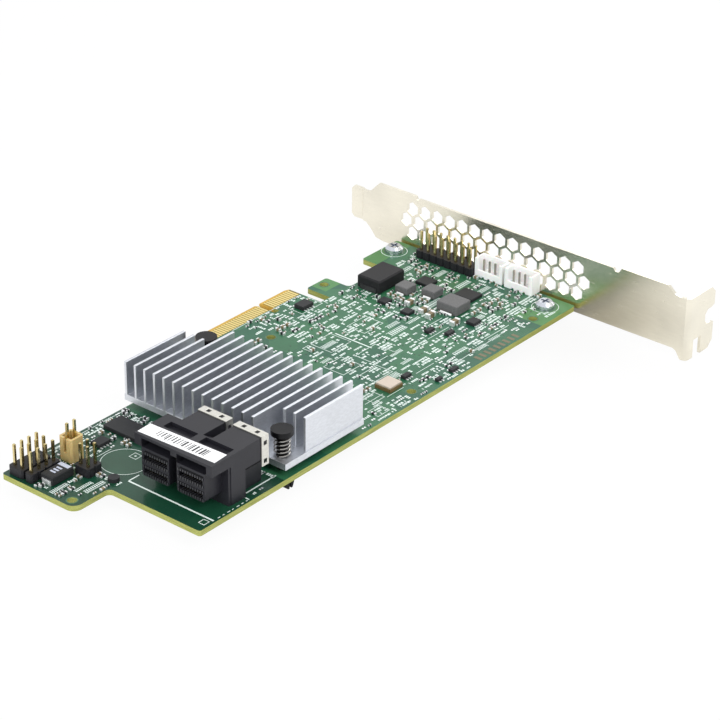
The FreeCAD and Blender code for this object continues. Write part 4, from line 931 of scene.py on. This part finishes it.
class CARD_OT_receptacle(bpy.types.Operator):
    """Finish the drive receptacle, its combs, clips and label"""

    bl_idname = "card.receptacle"
    bl_label = "Drive receptacle"

    def execute(self, context):
        plastic = finish("receptacle plastic", looks().housing_colour, 0.42, 0.0, 2200, variation=0.45,
                         drift=0.5, bump=0.25, depth=0.00003, specular=0.3)
        wear("sas_housing", plastic, 0.12)
        wear("sas_contacts", finish("contact plate", (0.26, 0.23, 0.15), 0.4, 1.0, 3000, variation=0.3))
        clip_plate = finish("clip plate", (0.66, 0.65, 0.60), 0.32, 1.0, 1600, variation=0.4)
        wear("sas_retaining_clips", clip_plate, 0.04, 1)
        film = finish("label film", (0.95, 0.96, 0.97), 0.5, 0.0, 1200, variation=0.05, drift=0.05)
        wear("sas_label", film)
        self.teeth()
        self.label_bars()
        return {"FINISHED"}

    def teeth(self):
        """Ribs along both lips of each slot, and black strips of painted shade between and above them and at
        the seams' shadow gaps.
        """
        teeth, painted_shade_strips = Solids(), Solids()
        low, high = span("sas_housing")
        front, width, tall = high.x, 9.20, 0.82
        count, half = 11, 0.20
        for first in (low.y + 2.30, high.y - 2.50 - width):
            last = first + width
            for lip in (3.05, 5.15, 6.85, 8.95):
                # A black strip of painted shade behind the ribs of each lip
                painted_shade_strips.box(front, first + 0.30, lip, front + 0.04, last - 0.30, lip + tall)
                for i in range(count):
                    y = first + 0.55 + (width - 1.10) * i / (count - 1)
                    teeth.box(front - 1.2, y - half, lip + 0.06, front + 0.16, y + half, lip + tall - 0.06)
            # A black strip of painted shade above each slot
            painted_shade_strips.box(front, first + 1.20, 9.86, front + 0.03, last - 0.30, 10.20)
        # Painted shade: a black strip for the shadow gap at the seam, on the outer side of each tower
        for outer in (54.80, 66.60):
            painted_shade_strips.box(70.60, outer - 2.30, 7.45, 79.20, outer - 0.03, 7.90)
        # A round stud that stands just out of the top
        teeth.disc(front - 3.4, 54.0, 0.75, 12.4, high.z + 0.05, 20, 0.25)
        comb_plastic = finish("comb plastic", (0.034, 0.034, 0.040), 0.35, 0.0, 2200, variation=0.4)
        teeth.piece("port_combs", comb_plastic, "receptacle_plastic")
        # Black for the painted shade in the slots and at the seams
        black = finish("gap black", (0.004, 0.004, 0.005), 0.6, 0.0, 2200, variation=0.5, specular=0.1)
        painted_shade_strips.piece("port_painted_shade", black, "receptacle_plastic")

    def label_bars(self):
        """Plain bars on the label, wider and narrower by turns."""
        bars = Solids()
        rng = random.Random(3)
        low, high = span("sas_label")
        y = low.y + 4.6
        while y < high.y - 4.2:
            wide = rng.choice((0.24, 0.38, 0.58))
            lean = (y - low.y) / (high.y - low.y)
            x = low.x + 1.9 - 0.85 * lean
            bars.box(x, y, high.z, x + rng.choice((2.7, 2.9, 2.3)), y + wide, high.z + 0.012)
            y += wide + rng.choice((0.26, 0.34, 0.62))
        bars.piece("label_bars", finish("label ink", (0.018, 0.018, 0.022), 0.6, 0.0, 3000, variation=0.4),
                   "label_film")


class CARD_OT_headers(bpy.types.Operator):
    """Finish the pin headers"""

    bl_idname = "card.headers"
    bl_label = "Pin headers"

    def execute(self, context):
        black = finish("header plastic", (0.014, 0.014, 0.017), 0.45, 0.0, 1800, variation=0.4, specular=0.25)
        for node in ("module_header", "cable_header", "jumper_row", "service_header"):
            wear(node + "_base", black, 0.08, 1)
            wear(node + "_pins", pin_gold())
        return {"FINISHED"}


class CARD_OT_sockets(bpy.types.Operator):
    """Finish the wire sockets by the bracket and the cream socket"""

    bl_idname = "card.sockets"
    bl_label = "Wire sockets"

    def execute(self, context):
        white = finish("white nylon", (0.97, 0.97, 0.965), 0.4, 0.0, 1200, variation=0.05, drift=0.05,
                       glow=0.15)
        wear("activity_sockets", white, 0.12)
        wear("activity_socket_pins", finish("wire pin", (0.42, 0.40, 0.36), 0.3, 1.0, 2500, variation=0.4))
        cream = finish("cream nylon", (0.60, 0.45, 0.19), 0.42, 0.0, 1200, variation=0.3, drift=0.3,
                       glow=0.15)
        wear("fan_socket", cream, 0.12)
        wear("fan_socket_pins", pin_gold())
        return {"FINISHED"}


class CARD_OT_power_parts(bpy.types.Operator):
    """Finish the inductors, capacitors and power chips"""

    bl_idname = "card.power_parts"
    bl_label = "Power parts"

    def execute(self, context):
        black = finish("black core", (0.016, 0.016, 0.018), 0.5, variation=0.6, bump=0.4, specular=0.2)
        wear("power_inductor", black, 0.3)
        grey = finish("grey core", (0.13, 0.13, 0.132), 0.5, 0.0, 2600, variation=0.9, bump=0.5, specular=0.3)
        wear("grey_inductors", grey, 0.2)
        wear("round_choke", epoxy(), 0.3)
        for node in ("tantalum_terminals", "small_chip_leads"):
            wear(node, tin())
        wear("grey_inductor_terminals", finish(
            "dull tin", (0.16, 0.155, 0.145), 0.5, 0.6, 1800, variation=0.9, bump=0.2))
        wear("power_inductor_terminals", finish(
            "covered terminal", (0.030, 0.030, 0.032), 0.5, 0.2, 1800, variation=0.8))
        for node in ("power_stage_chips", "small_chips", "memory_chip", "tantalum_capacitor"):
            wear(node, epoxy(), 0.06, 1)
        wear("oscillator_base", finish(
            "oscillator ceramic", (0.20, 0.13, 0.05), 0.45, 0.3, variation=0.5), 0.05, 1)
        wear("oscillator_lid", finish("oscillator lid", (0.60, 0.51, 0.43), 0.4, 0.25), 0.08)

        # Solder that climbs the feet of the grey inductors
        fillets = Solids()
        for low, high in islands("grey_inductors"):
            middle, half = (low.y + high.y) / 2, (high.y - low.y) * 0.28
            for face, way in ((low.x, -1), (high.x, 1)):
                ends = [sorted((face, face + reach * way)) for reach in (0.45, 0.12)]
                foot, crest = [corners(a, middle - half, b, middle + half) for a, b in ends]
                fillets.loft([(foot, 0.0), (foot, 0.12), (crest, 0.75)])
        fillets.piece("solder_fillets", tin(), "terminal_tin")

        # The polarity band of the tantalum case, and three short bars beside it
        band = Solids()
        low, high = span("tantalum_capacitor")
        top = high.z + 0.02
        band.box(low.x + 0.35, low.y + 0.35, high.z, low.x + 1.7, high.y - 0.35, top)
        for x in (low.x + 2.5, low.x + 3.6, low.x + 4.7):
            band.box(x, low.y + 1.2, high.z, x + 0.6, high.y - 1.3, top)
        band.piece("polarity_band", finish("band ink", (0.50, 0.54, 0.66), 0.5, 0.0, 2600), "label_film")
        return {"FINISHED"}


# Stage

# Painted shade on the floor, darker round one point, which the bracket mirrors: the point in metres, and how
# near and how far the shade fades
PAINTED_SHADE_POINT = (-0.050, 0.066, 0.0)
PAINTED_SHADE_NEAR, PAINTED_SHADE_FAR = 0.004, 0.040

# Lamps: name, place in metres, width of the disc in metres and watts
LAMPS = (("key", (0.15, 0.75, 0.75), 0.6, 4.2), ("fill", (0.85, 0.05, 0.45), 0.7, 4.4),
         ("back", (-0.65, -0.10, 0.60), 0.6, 2.4))

# The photo's camera: place in metres, angles in degrees, focal length and picture width in pixels
EYE = (0.4755, 0.4275, 0.3304)
AZIMUTH, ELEVATION, ROLL = 129.34, 28.59, 0.6
FOCAL_PIXELS, PHOTO_PIXELS = 2553.1, 720
SENSOR = 36.0


class CARD_OT_stage(bpy.types.Operator):
    """Set the floor, lamps and the camera at the photograph's angle"""

    bl_idname = "card.stage"
    bl_label = "Stage"

    def execute(self, context):
        low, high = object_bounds()
        self.floor(low.z - 0.0002)
        self.sky()
        for lamp in LAMPS:
            self.lamp((low + high) / 2, *lamp)
        self.camera()
        context.scene.view_settings.view_transform = "Standard"
        return {"FINISHED"}

    def floor(self, height):
        """A white floor that looks white itself, with a painted shade where the bracket mirrors it."""
        mesh = bpy.data.meshes.new("floor")
        reach = 4.0
        mesh.from_pydata([(x, y, height) for x, y in corners(-reach, -reach, reach, reach)], [],
                         [(0, 1, 2, 3)])
        thing = add_object("floor", mesh)
        material, tree, _ = new_material("white floor")
        tree.nodes.clear()
        place = add_node(tree, "ShaderNodeTexCoord").outputs["Object"]
        # The painted shade: darker and warmer round one point, seen in the bracket's reflection and in
        # bounced light
        away = add_node(tree, "ShaderNodeVectorMath", {0: place, 1: PAINTED_SHADE_POINT}, operation="DISTANCE")
        fade = add_node(tree, "ShaderNodeMapRange", {
            "From Min": PAINTED_SHADE_NEAR, "From Max": PAINTED_SHADE_FAR, "Value": away.outputs["Value"]},
            interpolation_type="SMOOTHSTEP")
        painted_shade_tone = add_node(tree, "ShaderNodeMix", {
            "Factor": fade.outputs["Result"], 6: (0.30, 0.28, 0.22), 7: (0.92, 0.92, 0.92)},
            data_type="RGBA")
        matt = add_node(tree, "ShaderNodeBsdfDiffuse", {"Color": painted_shade_tone.outputs[2]})
        shine = add_node(tree, "ShaderNodeEmission")
        rays = add_node(tree, "ShaderNodeLightPath").outputs
        share = 0.0
        for ray, amount in (("Is Camera Ray", 0.94), ("Is Glossy Ray", 0.20), ("Is Transmission Ray", 0.88)):
            share = maths(tree, "MAXIMUM", share, maths(tree, "MULTIPLY", rays[ray], amount))
        blend = add_node(tree, "ShaderNodeMixShader", {0: share, 1: matt.outputs[0], 2: shine.outputs[0]})
        add_node(tree, "ShaderNodeOutputMaterial", {"Surface": blend.outputs[0]})
        mesh.materials.append(material)
        thing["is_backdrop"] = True

    def sky(self):
        """An even white room, a little dimmer as a light than it looks."""
        world = bpy.data.worlds.new("studio")
        bpy.context.scene.world = world
        world.use_nodes = True
        tree = world.node_tree
        rays = add_node(tree, "ShaderNodeLightPath").outputs
        seen = maths(tree, "MAXIMUM", rays["Is Camera Ray"], rays["Is Glossy Ray"])
        level = add_node(tree, "ShaderNodeMix", {"Factor": seen, 2: 0.62, 3: 1.0})
        feed(tree, tree.nodes["Background"], {"Color": (1, 1, 1), "Strength": level.outputs[0]})

    def lamp(self, target, name, place, size, power):
        """A round lamp that shines at the target."""
        data = bpy.data.lights.new(name, "AREA")
        data.shape = "DISK"
        data.size = size
        data.energy = power
        thing = add_object(name, data)
        thing.location = place
        thing.rotation_mode = "QUATERNION"
        thing.rotation_quaternion = (Vector(place) - target).to_track_quat("Z", "Y")

    def camera(self):
        """The camera that took the photo."""
        azimuth, elevation, roll = [math.radians(angle) for angle in (AZIMUTH, ELEVATION, ROLL)]
        back = Vector((math.sin(azimuth) * math.cos(elevation), -math.cos(azimuth) * math.cos(elevation),
                       math.sin(elevation)))
        right = (-back).cross(Vector((0, 0, 1))).normalized()
        up = back.cross(right)
        turned = right * math.cos(roll) + up * math.sin(roll)
        upright = up * math.cos(roll) - right * math.sin(roll)
        data = bpy.data.cameras.new("camera")
        data.sensor_width = SENSOR
        data.lens = SENSOR * FOCAL_PIXELS / PHOTO_PIXELS
        data.clip_start, data.clip_end = 0.01, 20.0
        thing = add_object("camera", data)
        thing.matrix_world = Matrix.Translation(EYE) @ Matrix((turned, upright, back)).transposed().to_4x4()
        bpy.context.scene.camera = thing


class CARD_PT_panel(bpy.types.Panel):
    """Sizes and colours of the card, and a button for each of its operators"""

    bl_label = "Controller card"
    bl_idname = "CARD_PT_panel"
    bl_space_type = "VIEW_3D"
    bl_region_type = "UI"
    bl_category = "Card"

    def draw(self, context):
        column = self.layout.column()
        for name in CardLooks.__annotations__:
            column.prop(context.scene.card_looks, name)
        for operator in OPERATORS:
            column.operator(operator.bl_idname)


OPERATORS = (CARD_OT_board, CARD_OT_small_parts, CARD_OT_solder_side, CARD_OT_bracket, CARD_OT_cooling,
             CARD_OT_receptacle, CARD_OT_headers, CARD_OT_sockets, CARD_OT_power_parts, CARD_OT_stage)
CLASSES = (CardLooks, *OPERATORS, CARD_PT_panel)


def register():
    for one in CLASSES:
        bpy.utils.register_class(one)
    bpy.types.Scene.card_looks = bpy.props.PointerProperty(type=CardLooks)


def unregister():
    del bpy.types.Scene.card_looks
    for one in reversed(CLASSES):
        bpy.utils.unregister_class(one)


def main():
    register()
    for operator in OPERATORS:
        group, name = operator.bl_idname.split(".")
        getattr(getattr(bpy.ops, group), name)()


if __name__ == "__main__":
    main()
